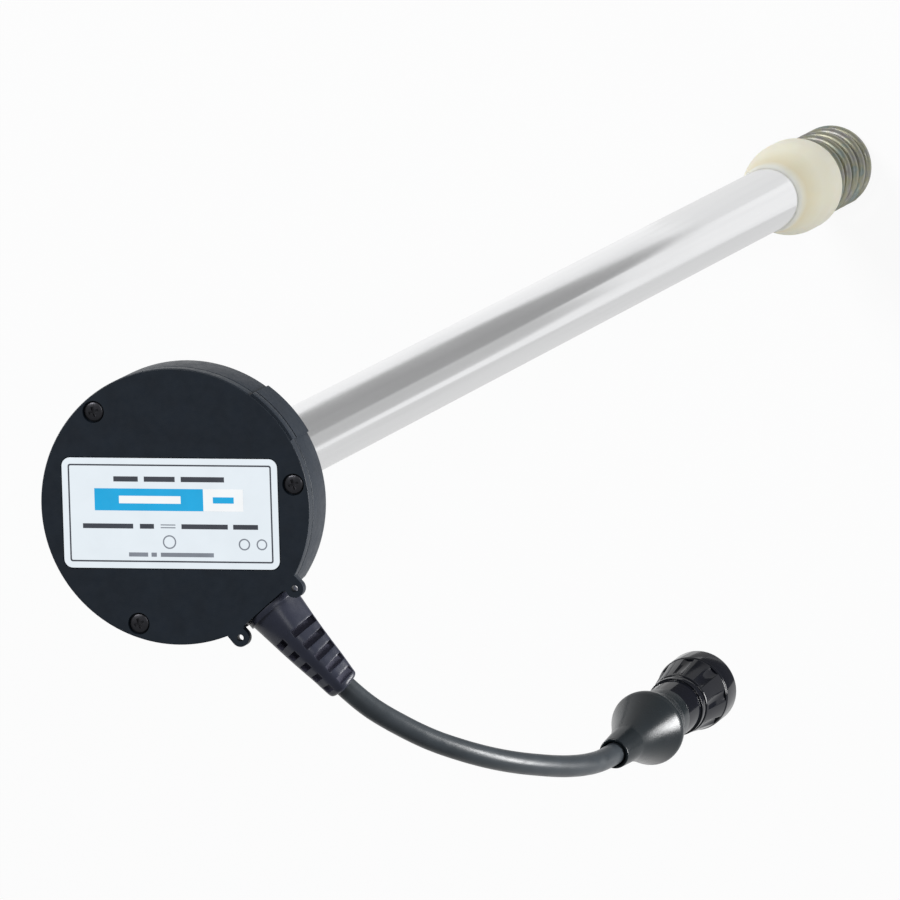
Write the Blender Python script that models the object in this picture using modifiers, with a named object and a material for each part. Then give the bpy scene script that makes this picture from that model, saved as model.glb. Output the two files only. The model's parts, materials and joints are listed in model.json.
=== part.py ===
"""Fuel level sender: a flanged head, a tube probe with a sprung foot, and a cable with a plug.

Lengths are metres and angles are degrees. The origin is the centre of the head's seat,
+Z points out of the cover, +X runs along the label and the probe hangs along -Z.
"""
import math

import bmesh
import bpy
from mathutils import Matrix, Vector

# Shared fits and mesh fineness
CLEARANCE = 0.0003
WELD = 0.000001
SHARP_ANGLE = 35
HEAD_SEGMENTS = 36
TUBE_SEGMENTS = 24
COLLAR_SEGMENTS = 32
SMALL_SEGMENTS = 12
HOLE_SEGMENTS = 8
OVERCUT = 0.002

# Head: housing
HEAD_RADIUS = 0.0400
HOUSING_HEIGHT = 0.0136
HOUSING_WALL = 0.0035
HOUSING_FLOOR = 0.0035
HEAD_CHAMFER = 0.0005
SPIGOT_RADIUS = 0.0172
SPIGOT_LENGTH = 0.0120
LUG_REACH = 0.0026
LUG_HEIGHT = 0.0030
LUG_ANGLE = 40
LUG_INSET = 0.0006
LUG_COUNT = 3
LUG_START = 103
PAD_THICKNESS = 0.0007
PAD_START = 29
PAD_END = 54
PAD_INSET = 0.0006

# Head: cover and its screws
COVER_PLATE = 0.0030
COVER_RIM = 0.0014
COVER_RIB_INSET = 0.0080
COVER_RIB_WALL = 0.0014
COVER_RIB_DEPTH = 0.0018
GASKET_THICKNESS = 0.0008
GASKET_WIDTH = 0.0051
COVER_SCREW_COUNT = 3
COVER_SCREW_START = 10.8
COVER_SCREW_INSET = 0.0040
COVER_SCREW_RADIUS = 0.00135
COVER_SCREW_HEAD_RADIUS = 0.0028
COVER_SCREW_HEAD_HEIGHT = 0.0012
COVER_SCREW_LENGTH = 0.0105
COVER_SCREW_POCKET = 0.0004
COVER_SCREW_POCKET_DEPTH = 0.0018
CROSS_WIDTH = 0.0008
CROSS_LENGTH = 0.0030
CROSS_DEPTH = 0.0008
CROSS_TURN = 20
SCREW_CROWN_SHARE = 0.8
SCREW_EDGE_SHARE = 0.4
SCREW_HOLE_GAP = 0.00045
GASKET_HOLE_GAP = 0.0006
BOSS_WALL = 0.00195
BOSS_FOOT = 0.0020

# Head: sealing ears beside the cable
EAR_SPREAD = 0.0110
EAR_REACH = 0.0019
EAR_RADIUS = 0.0026
EAR_HOLE_RADIUS = 0.0010
EAR_SINK = 0.00058
EAR_ROOT_INNER = 0.0085
EAR_ROOT_OUTER = 0.0135

# Head: label
LABEL_END_GAP = 0.0079
LABEL_WIDTH = 0.0319
LABEL_CORNER = 0.0025
LABEL_THICKNESS = 0.0003
LABEL_SINK = 0.00025
LABEL_X = -0.00137
LABEL_Y = -0.00194

# Head: circuit board and what stands on it
BOARD_EDGE_GAP = 0.0075
BOARD_BOTTOM = 0.0080
BOARD_THICKNESS = 0.0016
BOARD_SCREW_SHARE = 0.61
BOARD_SCREW_START = 60
BOARD_SCREW_COUNT = 3
BOARD_SCREW_RADIUS = 0.0009
BOARD_SCREW_HEAD_RADIUS = 0.0018
BOARD_SCREW_HEAD_HEIGHT = 0.0011
BOARD_SCREW_LENGTH = 0.0045
POST_WALL = 0.0013
CHIP_SIZE = 0.0090
CHIP_HEIGHT = 0.0014
CHIP_X = -0.0080
CHIP_Y = 0.0020
CAPACITOR_RADIUS = 0.0030
CAPACITOR_HEIGHT = 0.0042
CAPACITOR_BEVEL = 0.0004
CAPACITOR_X = 0.0020
CAPACITOR_Y = 0.0140
TERMINAL_DEPTH = 0.0060
TERMINAL_HEIGHT = 0.0042
TERMINAL_SETBACK = 0.0124
WIRE_RADIUS = 0.0005
WIRE_PITCH = 0.0032
WIRE_SPREAD = 0.0010
WIRE_ENTRY = 0.0012
WIRE_RISE_SHARE = 0.2
WIRE_POINT_SPACING = 0.0020
WIRE_COUNT = 4

# Flange seal in the seat
SEAL_GROOVE_RADIUS = 0.0232
SEAL_GROOVE_WIDTH = 0.0040
SEAL_GROOVE_DEPTH = 0.0016
SEAL_PROUD = 0.0008

# Probe
TUBE_RADIUS = 0.0105
TUBE_WALL = 0.0010
TUBE_TOP = 0.0065
PROBE_LENGTH = 0.7200
VENT_RADIUS = 0.0015
VENT_DEPTH = 0.0220
VENT_AZIMUTH = 110
NUT_ACROSS_FLATS = 0.0280
NUT_HEIGHT = 0.0027
ORING_SECTION = 0.0018
ORING_DEPTH = 0.0072
ELECTRODE_RADIUS = 0.0065
ELECTRODE_WALL = 0.0010
ELECTRODE_TOP = 0.0060
ELECTRODE_SETBACK = 0.0160
TERMINAL_PLUG_LENGTH = 0.0045
TERMINAL_STUD_RADIUS = 0.0015
INSULATOR_LENGTH = 0.0165
INSULATOR_FLANGE_RADIUS = 0.0120
INSULATOR_FLANGE_HEIGHT = 0.0008
SPACER_COUNT = 3
SPACER_HEIGHT = 0.0080
SPACER_WALL = 0.0009
SPACER_LOBES = 3
PLUG_SOCKET_DEPTH = 0.0040
PLUG_BORE_RADIUS = 0.0035
PLUG_PASSAGE_RADIUS = 0.0014
PLUG_PASSAGES = 4
PLUG_PASSAGE_START = 45

# Bottom stop
COLLAR_LAP = 0.0300
COLLAR_LIP_WALL = 0.0004
COLLAR_RADIUS = 0.0156
COLLAR_FLARE_RADIUS = 0.0142
COLLAR_FLARE_LENGTH = 0.0220
COLLAR_FLARE_POWER = 1.6
COLLAR_CROWN_LENGTH = 0.0090
COLLAR_LENGTH = 0.0420
COLLAR_CHAMFER = 0.0010
COLLAR_HOLE_RADIUS = 0.0060
COLLAR_BOSS_LENGTH = 0.0100

# Spring
SPRING_MEAN_RADIUS = 0.0124
SPRING_WIRE = 0.0030
SPRING_TOP_TURNS = 0.75
SPRING_TURNS = 4.4
SPRING_PITCH = 0.0098
SPRING_POINTS_PER_TURN = 14
SPRING_START = 250
SPRING_GRIND = 0.0006

# Cable exit in the head's wall
EXIT_AZIMUTH = -49
EXIT_HEIGHT = 0.0094
CHORD_DEPTH = 0.0014
CHORD_HALF_WIDTH = 0.0079

# Strain relief
BOOT_NECK_RADIUS = 0.0055
BOOT_GRIP_HALF_WIDTH = 0.0075
BOOT_GRIP_THICKNESS = 0.0018
BOOT_FLANGE_RADIUS = 0.0087
BOOT_FLANGE_THICKNESS = 0.0016
BOOT_ROOT_RADIUS = 0.0082
BOOT_SHOULDER_RADIUS = 0.0072
BOOT_TIP_RADIUS = 0.00495
BOOT_SOLID_LENGTH = 0.0109
BOOT_LENGTH = 0.0317
BOOT_SQUARENESS = 0.12
BOOT_CORNER_ANGLE = 85
BOOT_FACE_ANGLE = BOOT_CORNER_ANGLE - 45
BOOT_SIDE_ANGLE = BOOT_CORNER_ANGLE + 45
BOOT_STATIONS = 9
BOOT_POINTS = 24
SLOT_COUNT = 5
SLOT_PITCH = 0.0044
SLOT_WIDTH = 0.0022
SLOT_FIRST = 0.0112
SLOT_SIDE_WALL = 0.0016
SLOT_WINDOW_SHARE = 0.38
SLOT_SILL = 0.0002

# Cable: its route in the exit's frame as (out, sideways, up) from the wall
CABLE_RADIUS = 0.0032
CABLE_BORE_GAP = 0.0004
CABLE_POINT_SPACING = 0.0120
CABLE_FINENESS = 3
CONNECTOR_LIP = (0.0934, 0.0210, -0.0883)
CABLE_ROUTE = [
    (-0.0056, 0.0000, 0.0000),
    (0.0010, 0.0000, 0.0000),
    (0.0060, 0.0000, 0.0000),
    (0.0115, 0.0000, 0.0000),
    (0.0171, 0.0000, -0.0003),
    (0.0242, 0.0000, -0.0012),
    (0.0316, -0.0002, -0.0026),
    (0.0410, 0.0005, -0.0057),
    (0.0501, 0.0023, -0.0103),
    (0.0586, 0.0044, -0.0162),
    (0.0661, 0.0069, -0.0231),
    (0.0728, 0.0094, -0.0309),
    (0.0785, 0.0118, -0.0393),
    (0.0834, 0.0141, -0.0484),
    (0.0875, 0.0160, -0.0579),
    (0.0907, 0.0178, -0.0678),
    (0.0927, 0.0194, -0.0780),
    CONNECTOR_LIP,
    (0.0933, 0.0222, -0.0953),
    (0.0932, 0.0233, -0.1021),
]

# Plug on the cable: distances run from its rubber lip towards the mouth
CONNECTOR_TILT = 9.6
CONNECTOR_TURN = 94.2
SLEEVE_LIP_RADIUS = 0.0045
SLEEVE_NECK_RADIUS = 0.0052
SLEEVE_NECK_LENGTH = 0.0090
SLEEVE_RADIUS = 0.0112
SLEEVE_WIDEST = 0.0275
SLEEVE_SWELL_POWER = 1.3
SLEEVE_TAIL_RADIUS = 0.0084
SLEEVE_TAIL_START = 0.0370
SLEEVE_LENGTH = 0.0410
SLEEVE_CABLE_DEPTH = 0.0140
SLEEVE_WIRE_RADIUS = 0.0055
SLEEVE_WIRE_DEPTH = 0.0200
SHELL_TAIL_RADIUS = 0.0070
SHELL_WALL = 0.0014
SHELL_RADIUS = 0.0081
SHELL_FLANGE_RADIUS = 0.0088
SHELL_FLANGE_START = 0.0505
SHELL_FLANGE_LENGTH = 0.0025
SHELL_BARREL_RADIUS = 0.0074
SHELL_BARREL_WALL = 0.0010
SHELL_RIDGE_RADIUS = 0.0082
SHELL_RIDGE_LENGTH = 0.0012
SHELL_LENGTH = 0.0690
INSERT_SEAT = 0.0480
INSERT_FACE = 0.0670
RING_START_RADIUS = 0.0090
RING_RADIUS = 0.0109
RING_COLLAR_RADIUS = 0.0112
RING_COLLAR_LENGTH = 0.0080
RING_LENGTH = 0.0195
RING_SHOULDER_LENGTH = 0.0037
RING_BORE_RADIUS = 0.0085
RING_FLUTES = 8
RING_FLUTE_RADIUS = 0.0030
RING_FLUTE_DEPTH = 0.0006
RING_MOUTH_RADIUS = 0.0097
RING_MOUTH_LENGTH = 0.0060
CONTACT_COUNT = 4
CONTACT_CIRCLE = 0.0034
CONTACT_START = 45
CONTACT_RADIUS = 0.0009
CONTACT_BACK = 0.0440
CONTACT_FACE = 0.0662
MOUTH_SEAL_SECTION = 0.0011
MOUTH_SEAL_PLACE = 0.0645
MOUTH_SEAL_GROOVE = 0.0005

# Heights and radii that follow from the values above
COVER_BOTTOM = HOUSING_HEIGHT + CLEARANCE
COVER_UNDERSIDE = COVER_BOTTOM + GASKET_THICKNESS + CLEARANCE
COVER_TOP = COVER_UNDERSIDE + COVER_PLATE
HOUSING_INNER_RADIUS = HEAD_RADIUS - HOUSING_WALL
GASKET_RADIUS = HEAD_RADIUS - COVER_RIM - CLEARANCE
COVER_SCREW_CIRCLE = HEAD_RADIUS - COVER_SCREW_INSET
COVER_SCREW_SEAT = COVER_TOP - COVER_SCREW_POCKET_DEPTH
CHORD_DISTANCE = HEAD_RADIUS - CHORD_DEPTH
EAR_ROOT = CHORD_DISTANCE - math.sqrt(HEAD_RADIUS ** 2 - EAR_ROOT_OUTER ** 2) + EAR_SINK
LABEL_LENGTH = 2 * (HEAD_RADIUS - LABEL_END_GAP)
NUT_CORNER_RADIUS = NUT_ACROSS_FLATS / 2 / math.cos(math.pi / 6)
BOARD_RADIUS = HOUSING_INNER_RADIUS - BOARD_EDGE_GAP
BOARD_SCREW_CIRCLE = NUT_CORNER_RADIUS + (BOARD_RADIUS - NUT_CORNER_RADIUS) * BOARD_SCREW_SHARE
TERMINAL_FACE = CHORD_DISTANCE - TERMINAL_SETBACK
BOARD_TOP = BOARD_BOTTOM + BOARD_THICKNESS
TUBE_BORE = TUBE_RADIUS - TUBE_WALL
TUBE_HOLE = TUBE_RADIUS + CLEARANCE
ELECTRODE_HOLE = ELECTRODE_RADIUS + CLEARANCE
CORE_RADIUS = TUBE_BORE - CLEARANCE
TUBE_BOTTOM = -PROBE_LENGTH
ELECTRODE_BOTTOM = TUBE_BOTTOM + ELECTRODE_SETBACK
SPACER_PITCH = PROBE_LENGTH / (SPACER_COUNT + 1)
COLLAR_TOP = TUBE_BOTTOM + COLLAR_LAP
COLLAR_FACE = COLLAR_TOP - COLLAR_LENGTH
SPRING_CLOSED_PITCH = SPRING_WIRE + CLEARANCE
SHELL_TAIL_START = SLEEVE_WIRE_DEPTH + CLEARANCE
RING_START = SHELL_FLANGE_START + SHELL_FLANGE_LENGTH + CLEARANCE
RING_END = RING_START + RING_LENGTH
SLOT_FLOOR = CABLE_RADIUS + CABLE_BORE_GAP - SLOT_SILL

# Turns a plate so that its X, Y and thickness run sideways, up and out of the head's wall
OUTWARD = Matrix(((0, 0, 1, 0), (1, 0, 0, 0), (0, 1, 0, 0), (0, 0, 0, 1)))


def clear_scene():
    for old in list(bpy.data.objects):
        bpy.data.objects.remove(old)


def new_collection(name):
    collection = bpy.data.collections.new(name)
    bpy.context.scene.collection.children.link(collection)
    return collection


def new_material(name, colour, roughness, metallic=0.0):
    material = bpy.data.materials.new(name)
    material.use_nodes = True
    shader = material.node_tree.nodes["Principled BSDF"]
    shader.inputs["Base Color"].default_value = (*colour, 1.0)
    shader.inputs["Roughness"].default_value = roughness
    shader.inputs["Metallic"].default_value = metallic
    material.diffuse_color = (*colour, 1.0)
    return material


clear_scene()
PARTS = new_collection("fuel_level_sender")
TOOLS = new_collection("cutters")


def add_empty(name, parent=None, location=(0, 0, 0), turn=(0, 0, 0)):
    """An empty that carries pieces, turned by degrees about X, then Y, then Z."""
    empty = bpy.data.objects.new(name, None)
    empty.empty_display_size = 0.01
    empty.location = location
    empty.rotation_euler = [math.radians(angle) for angle in turn]
    empty.parent = parent
    PARTS.objects.link(empty)
    return empty


def add_piece(name, data, material, parent=None):
    piece = bpy.data.objects.new(name, data)
    piece.data.materials.clear()
    piece.data.materials.append(material)
    piece.parent = parent
    PARTS.objects.link(piece)
    return piece


def add_tool(name, data, parent=None):
    """A shape that only cuts or joins, kept out of the model."""
    tool = bpy.data.objects.new(name, data)
    tool.parent = parent
    tool.hide_render = True
    tool.display_type = "WIRE"
    TOOLS.objects.link(tool)
    return tool


def combine(piece, operation, tool):
    """A Boolean with a tool, then a weld of the slivers that it can leave."""
    modifier = piece.modifiers.new(tool.name, "BOOLEAN")
    modifier.operation = operation
    modifier.solver = "EXACT"
    modifier.object = tool
    weld = piece.modifiers.new("weld", "WELD")
    weld.merge_threshold = WELD


def join(piece, name, mesh, parent=None):
    combine(piece, "UNION", add_tool(name, mesh, parent))


def cut(piece, name, mesh, parent=None):
    combine(piece, "DIFFERENCE", add_tool(name, mesh, parent))


def turn_profile(piece, segments):
    """Turn a profile about the piece's Z axis."""
    screw = piece.modifiers.new("turn", "SCREW")
    screw.axis = "Z"
    screw.angle = math.tau
    screw.steps = segments
    screw.render_steps = segments
    screw.use_merge_vertices = True
    screw.merge_threshold = WELD
    screw.use_normal_calculate = False


def profile_mesh(name, profile):
    """Edges through (radius, height) points, closed into a ring unless they meet the axis."""
    mesh = bpy.data.meshes.new(name)
    edges = [(index, index + 1) for index in range(len(profile) - 1)]
    meets_axis = profile[0][0] == 0 and profile[-1][0] == 0
    if not meets_axis:
        edges.append((len(profile) - 1, 0))
    mesh.from_pydata([(radius, 0, height) for radius, height in profile], edges, [])
    return mesh


def turned_piece(name, profile, material, segments, parent=None):
    piece = add_piece(name, profile_mesh(name, profile), material, parent)
    turn_profile(piece, segments)
    return piece


def mesh_from_bmesh(name, shape):
    mesh = bpy.data.meshes.new(name)
    bmesh.ops.recalc_face_normals(shape, faces=shape.faces)
    shape.to_mesh(mesh)
    shape.free()
    return mesh


def mesh_from_curve(curve, matrix=Matrix.Identity(4)):
    """The closed mesh of a curve, with its caps welded and placed by the matrix."""
    guide = bpy.data.objects.new(curve.name, curve)
    bpy.context.scene.collection.objects.link(guide)
    depsgraph = bpy.context.evaluated_depsgraph_get()
    raw = bpy.data.meshes.new_from_object(guide.evaluated_get(depsgraph))
    bpy.data.objects.remove(guide)
    shape = bmesh.new()
    shape.from_mesh(raw)
    bmesh.ops.remove_doubles(shape, verts=shape.verts, dist=WELD)
    bmesh.ops.transform(shape, matrix=matrix, verts=shape.verts)
    return mesh_from_bmesh(curve.name, shape)


def plate_mesh(name, outlines, bottom, top, matrix=Matrix.Identity(4)):
    """A flat plate between two heights; outlines inside the first one are holes."""
    curve = bpy.data.curves.new(name, "CURVE")
    curve.dimensions = "2D"
    curve.fill_mode = "BOTH"
    curve.extrude = (top - bottom) / 2
    for outline in outlines:
        spline = curve.splines.new("POLY")
        spline.points.add(len(outline) - 1)
        for point, (x, y) in zip(spline.points, outline):
            point.co = (x, y, 0, 1)
        spline.use_cyclic_u = True
    return mesh_from_curve(curve, matrix @ Matrix.Translation((0, 0, (top + bottom) / 2)))


def wire_curve(name, points, radius, fineness=2):
    """A round wire along straight stretches between points."""
    curve = bpy.data.curves.new(name, "CURVE")
    curve.dimensions = "3D"
    curve.bevel_depth = radius
    curve.bevel_resolution = fineness
    curve.use_fill_caps = True
    spline = curve.splines.new("POLY")
    spline.points.add(len(points) - 1)
    for knot, point in zip(spline.points, points):
        knot.co = (*point, 1)
    return curve


def rods_mesh(name, radius, bottom, top, centres, segments=SMALL_SEGMENTS):
    """Upright rods of one size at (x, y) centres."""
    shape = bmesh.new()
    for x, y in centres:
        place = Matrix.Translation((x, y, (bottom + top) / 2))
        bmesh.ops.create_cone(shape, cap_ends=True, segments=segments, radius1=radius,
                              radius2=radius, depth=top - bottom, matrix=place)
    return mesh_from_bmesh(name, shape)


def blocks_mesh(name, blocks):
    """Boxes given as (placing matrix, size)."""
    shape = bmesh.new()
    for place, size in blocks:
        bmesh.ops.create_cube(shape, size=1, matrix=place @ Matrix.Diagonal((*size, 1)))
    return mesh_from_bmesh(name, shape)


def block_between(low, high):
    """The placing matrix and size of an upright box between two corners."""
    low, high = Vector(low), Vector(high)
    return Matrix.Translation((low + high) / 2), high - low


def polar(radius, angle):
    return radius * math.cos(math.radians(angle)), radius * math.sin(math.radians(angle))


def ring_of(count, radius, start):
    return [polar(radius, start + 360 * index / count) for index in range(count)]


def circle_outline(radius, segments, centre=(0, 0)):
    return [(centre[0] + x, centre[1] + y) for x, y in ring_of(segments, radius, 0)]


def arc_outline(radius, start, end, steps, centre=(0, 0)):
    angles = [start + (end - start) * index / steps for index in range(steps + 1)]
    return [(centre[0] + x, centre[1] + y) for x, y in (polar(radius, a) for a in angles)]


def sector_outline(inner, outer, start, end, steps):
    return arc_outline(outer, start, end, steps) + arc_outline(inner, end, start, steps)


def rounded_rectangle(length, width, corner, centre, steps=3):
    outline = []
    for quarter, (side_x, side_y) in enumerate([(1, 1), (-1, 1), (-1, -1), (1, -1)]):
        middle = (centre[0] + side_x * (length / 2 - corner),
                  centre[1] + side_y * (width / 2 - corner))
        outline += arc_outline(corner, 90 * quarter, 90 * quarter + 90, steps, middle)
    return outline


def ring_profile(inner, outer, bottom, top):
    return [(inner, top), (outer, top), (outer, bottom), (inner, bottom)]


def round_profile(mean_radius, height, section, points=6):
    """A round section for an O-ring, running down its outer side."""
    angles = [-360 * index / points for index in range(points)]
    spots = [polar(section / 2, angle) for angle in angles]
    return [(mean_radius + x, height + z) for x, z in spots]


def smooth_route(points, spacing):
    """Points one spacing apart along a Catmull-Rom curve through the given points."""
    knots = [Vector(point) for point in points]
    knots = [2 * knots[0] - knots[1]] + knots + [2 * knots[-1] - knots[-2]]
    fine = []
    for before, start, end, after in zip(knots, knots[1:], knots[2:], knots[3:]):
        for step in range(12):
            t = step / 12
            fine.append(0.5 * (2 * start + (end - before) * t
                               + (2 * before - 5 * start + 4 * end - after) * t ** 2
                               + (3 * start - before - 3 * end + after) * t ** 3))
    fine.append(knots[-2])
    length = sum((b - a).length for a, b in zip(fine, fine[1:]))
    count = max(1, round(length / spacing))
    return [point_along(fine, length * index / count) for index in range(count + 1)]


def point_along(points, distance):
    """The point at a distance along straight stretches between points."""
    for start, end in zip(points, points[1:]):
        step = (end - start).length
        if distance <= step:
            return start.lerp(end, distance / step)
        distance -= step
    return points[-1].copy()


def make_materials():
    return {
        "head": new_material("moulded_black", (0.018, 0.021, 0.026), 0.45),
        "label": new_material("label_film", (0.74, 0.79, 0.84), 0.40),
        "dark_steel": new_material("blackened_steel", (0.030, 0.030, 0.034), 0.35, 1.0),
        "steel": new_material("bright_steel", (0.62, 0.62, 0.64), 0.30, 1.0),
        "aluminium": new_material("satin_aluminium", (0.80, 0.80, 0.81), 0.32, 1.0),
        "nylon": new_material("cream_nylon", (0.76, 0.71, 0.58), 0.45),
        "zinc": new_material("yellow_zinc", (0.55, 0.52, 0.38), 0.35, 1.0),
        "boot": new_material("grey_rubber", (0.045, 0.045, 0.060), 0.60),
        "cable": new_material("cable_jacket", (0.050, 0.060, 0.068), 0.45),
        "plug": new_material("gloss_black", (0.015, 0.016, 0.018), 0.25),
        "seal": new_material("black_rubber", (0.020, 0.020, 0.020), 0.70),
        "board": new_material("green_board", (0.03, 0.18, 0.07), 0.45),
        "brass": new_material("brass", (0.70, 0.52, 0.22), 0.30, 1.0),
        "wire": new_material("wire_jacket", (0.40, 0.05, 0.04), 0.50),
    }


def cover_screw_centres():
    return ring_of(COVER_SCREW_COUNT, COVER_SCREW_CIRCLE, COVER_SCREW_START)


def board_screw_centres():
    return ring_of(BOARD_SCREW_COUNT, BOARD_SCREW_CIRCLE, EXIT_AZIMUTH + BOARD_SCREW_START)


def ear_outline(side):
    """A lobe tangent to two feet on the rim, in the exit's frame."""
    centre = Vector((EAR_REACH, EAR_SPREAD))
    feet = [Vector((-EAR_ROOT, EAR_ROOT_INNER)), Vector((-EAR_ROOT, EAR_ROOT_OUTER))]
    angles = []
    for foot, way in zip(feet, (1, -1)):
        arm = foot - centre
        bearing = math.degrees(math.atan2(arm.y, arm.x))
        angles.append(bearing + way * math.degrees(math.acos(EAR_RADIUS / arm.length)))
    lobe = arc_outline(EAR_RADIUS, angles[0], angles[1], 6, centre)
    return [(x, side * y) for x, y in [tuple(feet[0])] + lobe + [tuple(feet[1])]]


def make_cover(material, cable_exit):
    skirt = HEAD_RADIUS - COVER_RIM
    rib_outer = HEAD_RADIUS - COVER_RIB_INSET
    rib_inner = rib_outer - COVER_RIB_WALL
    rib_bottom = COVER_UNDERSIDE - COVER_RIB_DEPTH
    cover = turned_piece("cover", [
        (0, COVER_TOP),
        (HEAD_RADIUS - HEAD_CHAMFER, COVER_TOP),
        (HEAD_RADIUS, COVER_TOP - HEAD_CHAMFER),
        (HEAD_RADIUS, COVER_BOTTOM),
        (skirt, COVER_BOTTOM),
        (skirt, COVER_UNDERSIDE),
        (rib_outer, COVER_UNDERSIDE),
        (rib_outer, rib_bottom),
        (rib_inner, rib_bottom),
        (rib_inner, COVER_UNDERSIDE),
        (0, COVER_UNDERSIDE),
    ], material, HEAD_SEGMENTS)

    pad_outline = sector_outline(skirt + CLEARANCE, HEAD_RADIUS + PAD_THICKNESS, PAD_START, PAD_END, 6)
    pad = plate_mesh("cover_pad", [pad_outline], COVER_BOTTOM, COVER_TOP - HEAD_CHAMFER)
    join(cover, "cover_pad", pad)
    for name, side in (("ear_left", 1), ("ear_right", -1)):
        ear = plate_mesh(name, [ear_outline(side)], COVER_UNDERSIDE - EXIT_HEIGHT, COVER_TOP - EXIT_HEIGHT)
        join(cover, name, ear, cable_exit)

    low, high = COVER_BOTTOM - EXIT_HEIGHT - OVERCUT, COVER_TOP - EXIT_HEIGHT + OVERCUT
    chord = block_between((0, -CHORD_HALF_WIDTH, low), (2 * HEAD_RADIUS, CHORD_HALF_WIDTH, high))
    cut(cover, "cover_chord", blocks_mesh("cover_chord", [chord]), cable_exit)
    ear_holes = rods_mesh("ear_holes", EAR_HOLE_RADIUS, low, high,
                          [(EAR_REACH, EAR_SPREAD), (EAR_REACH, -EAR_SPREAD)], HOLE_SEGMENTS)
    cut(cover, "ear_holes", ear_holes, cable_exit)

    pockets = rods_mesh("screw_pockets", COVER_SCREW_HEAD_RADIUS + COVER_SCREW_POCKET,
                        COVER_SCREW_SEAT, COVER_TOP + OVERCUT, cover_screw_centres())
    cut(cover, "screw_pockets", pockets)
    holes = rods_mesh("screw_holes", COVER_SCREW_RADIUS + SCREW_HOLE_GAP, COVER_UNDERSIDE - OVERCUT,
                      COVER_TOP, cover_screw_centres(), HOLE_SEGMENTS)
    cut(cover, "screw_holes", holes)
    recess = rounded_rectangle(LABEL_LENGTH + 2 * CLEARANCE, LABEL_WIDTH + 2 * CLEARANCE,
                               LABEL_CORNER + CLEARANCE, (LABEL_X, LABEL_Y))
    recess_floor = COVER_TOP - LABEL_SINK - CLEARANCE
    cut(cover, "label_recess", plate_mesh("label_recess", [recess], recess_floor, COVER_TOP + OVERCUT))


def make_label(material):
    outline = rounded_rectangle(LABEL_LENGTH, LABEL_WIDTH, LABEL_CORNER, (LABEL_X, LABEL_Y))
    bottom = COVER_TOP - LABEL_SINK
    add_piece("label", plate_mesh("label", [outline], bottom, bottom + LABEL_THICKNESS), material)


def make_gasket(material):
    gasket = turned_piece("cover_gasket", ring_profile(
        GASKET_RADIUS - GASKET_WIDTH, GASKET_RADIUS, COVER_BOTTOM,
        COVER_BOTTOM + GASKET_THICKNESS), material, HEAD_SEGMENTS)
    holes = rods_mesh("gasket_holes", COVER_SCREW_RADIUS + GASKET_HOLE_GAP, HOUSING_HEIGHT,
                      COVER_TOP, cover_screw_centres(), HOLE_SEGMENTS)
    cut(gasket, "gasket_holes", holes)


def screw_profile(seat, radius, length, head_radius, head_height):
    """A pan-headed screw, from its crown down to its tip."""
    crown = seat + head_height
    return [
        (0, crown),
        (head_radius * SCREW_CROWN_SHARE, crown),
        (head_radius, crown - head_height * SCREW_EDGE_SHARE),
        (head_radius, seat),
        (radius, seat),
        (radius, seat - length),
        (0, seat - length),
    ]


def make_cover_screws(material):
    seat = COVER_SCREW_SEAT + CLEARANCE
    crown = seat + COVER_SCREW_HEAD_HEIGHT
    profile = screw_profile(seat, COVER_SCREW_RADIUS, COVER_SCREW_LENGTH,
                            COVER_SCREW_HEAD_RADIUS, COVER_SCREW_HEAD_HEIGHT)
    for index, (x, y) in enumerate(cover_screw_centres(), 1):
        screw = turned_piece(f"cover_screw_{index}", profile, material, SMALL_SEGMENTS)
        screw.location = (x, y, 0)
        for arm_number in (1, 2):
            turn = CROSS_TURN + 90 * (arm_number - 1)
            name = f"cross_{index}_{arm_number}"
            place = Matrix.Translation((x, y, crown)) @ Matrix.Rotation(math.radians(turn), 4, "Z")
            arm = blocks_mesh(name, [(place, (CROSS_LENGTH, CROSS_WIDTH, 2 * CROSS_DEPTH))])
            cut(screw, name, arm)


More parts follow.
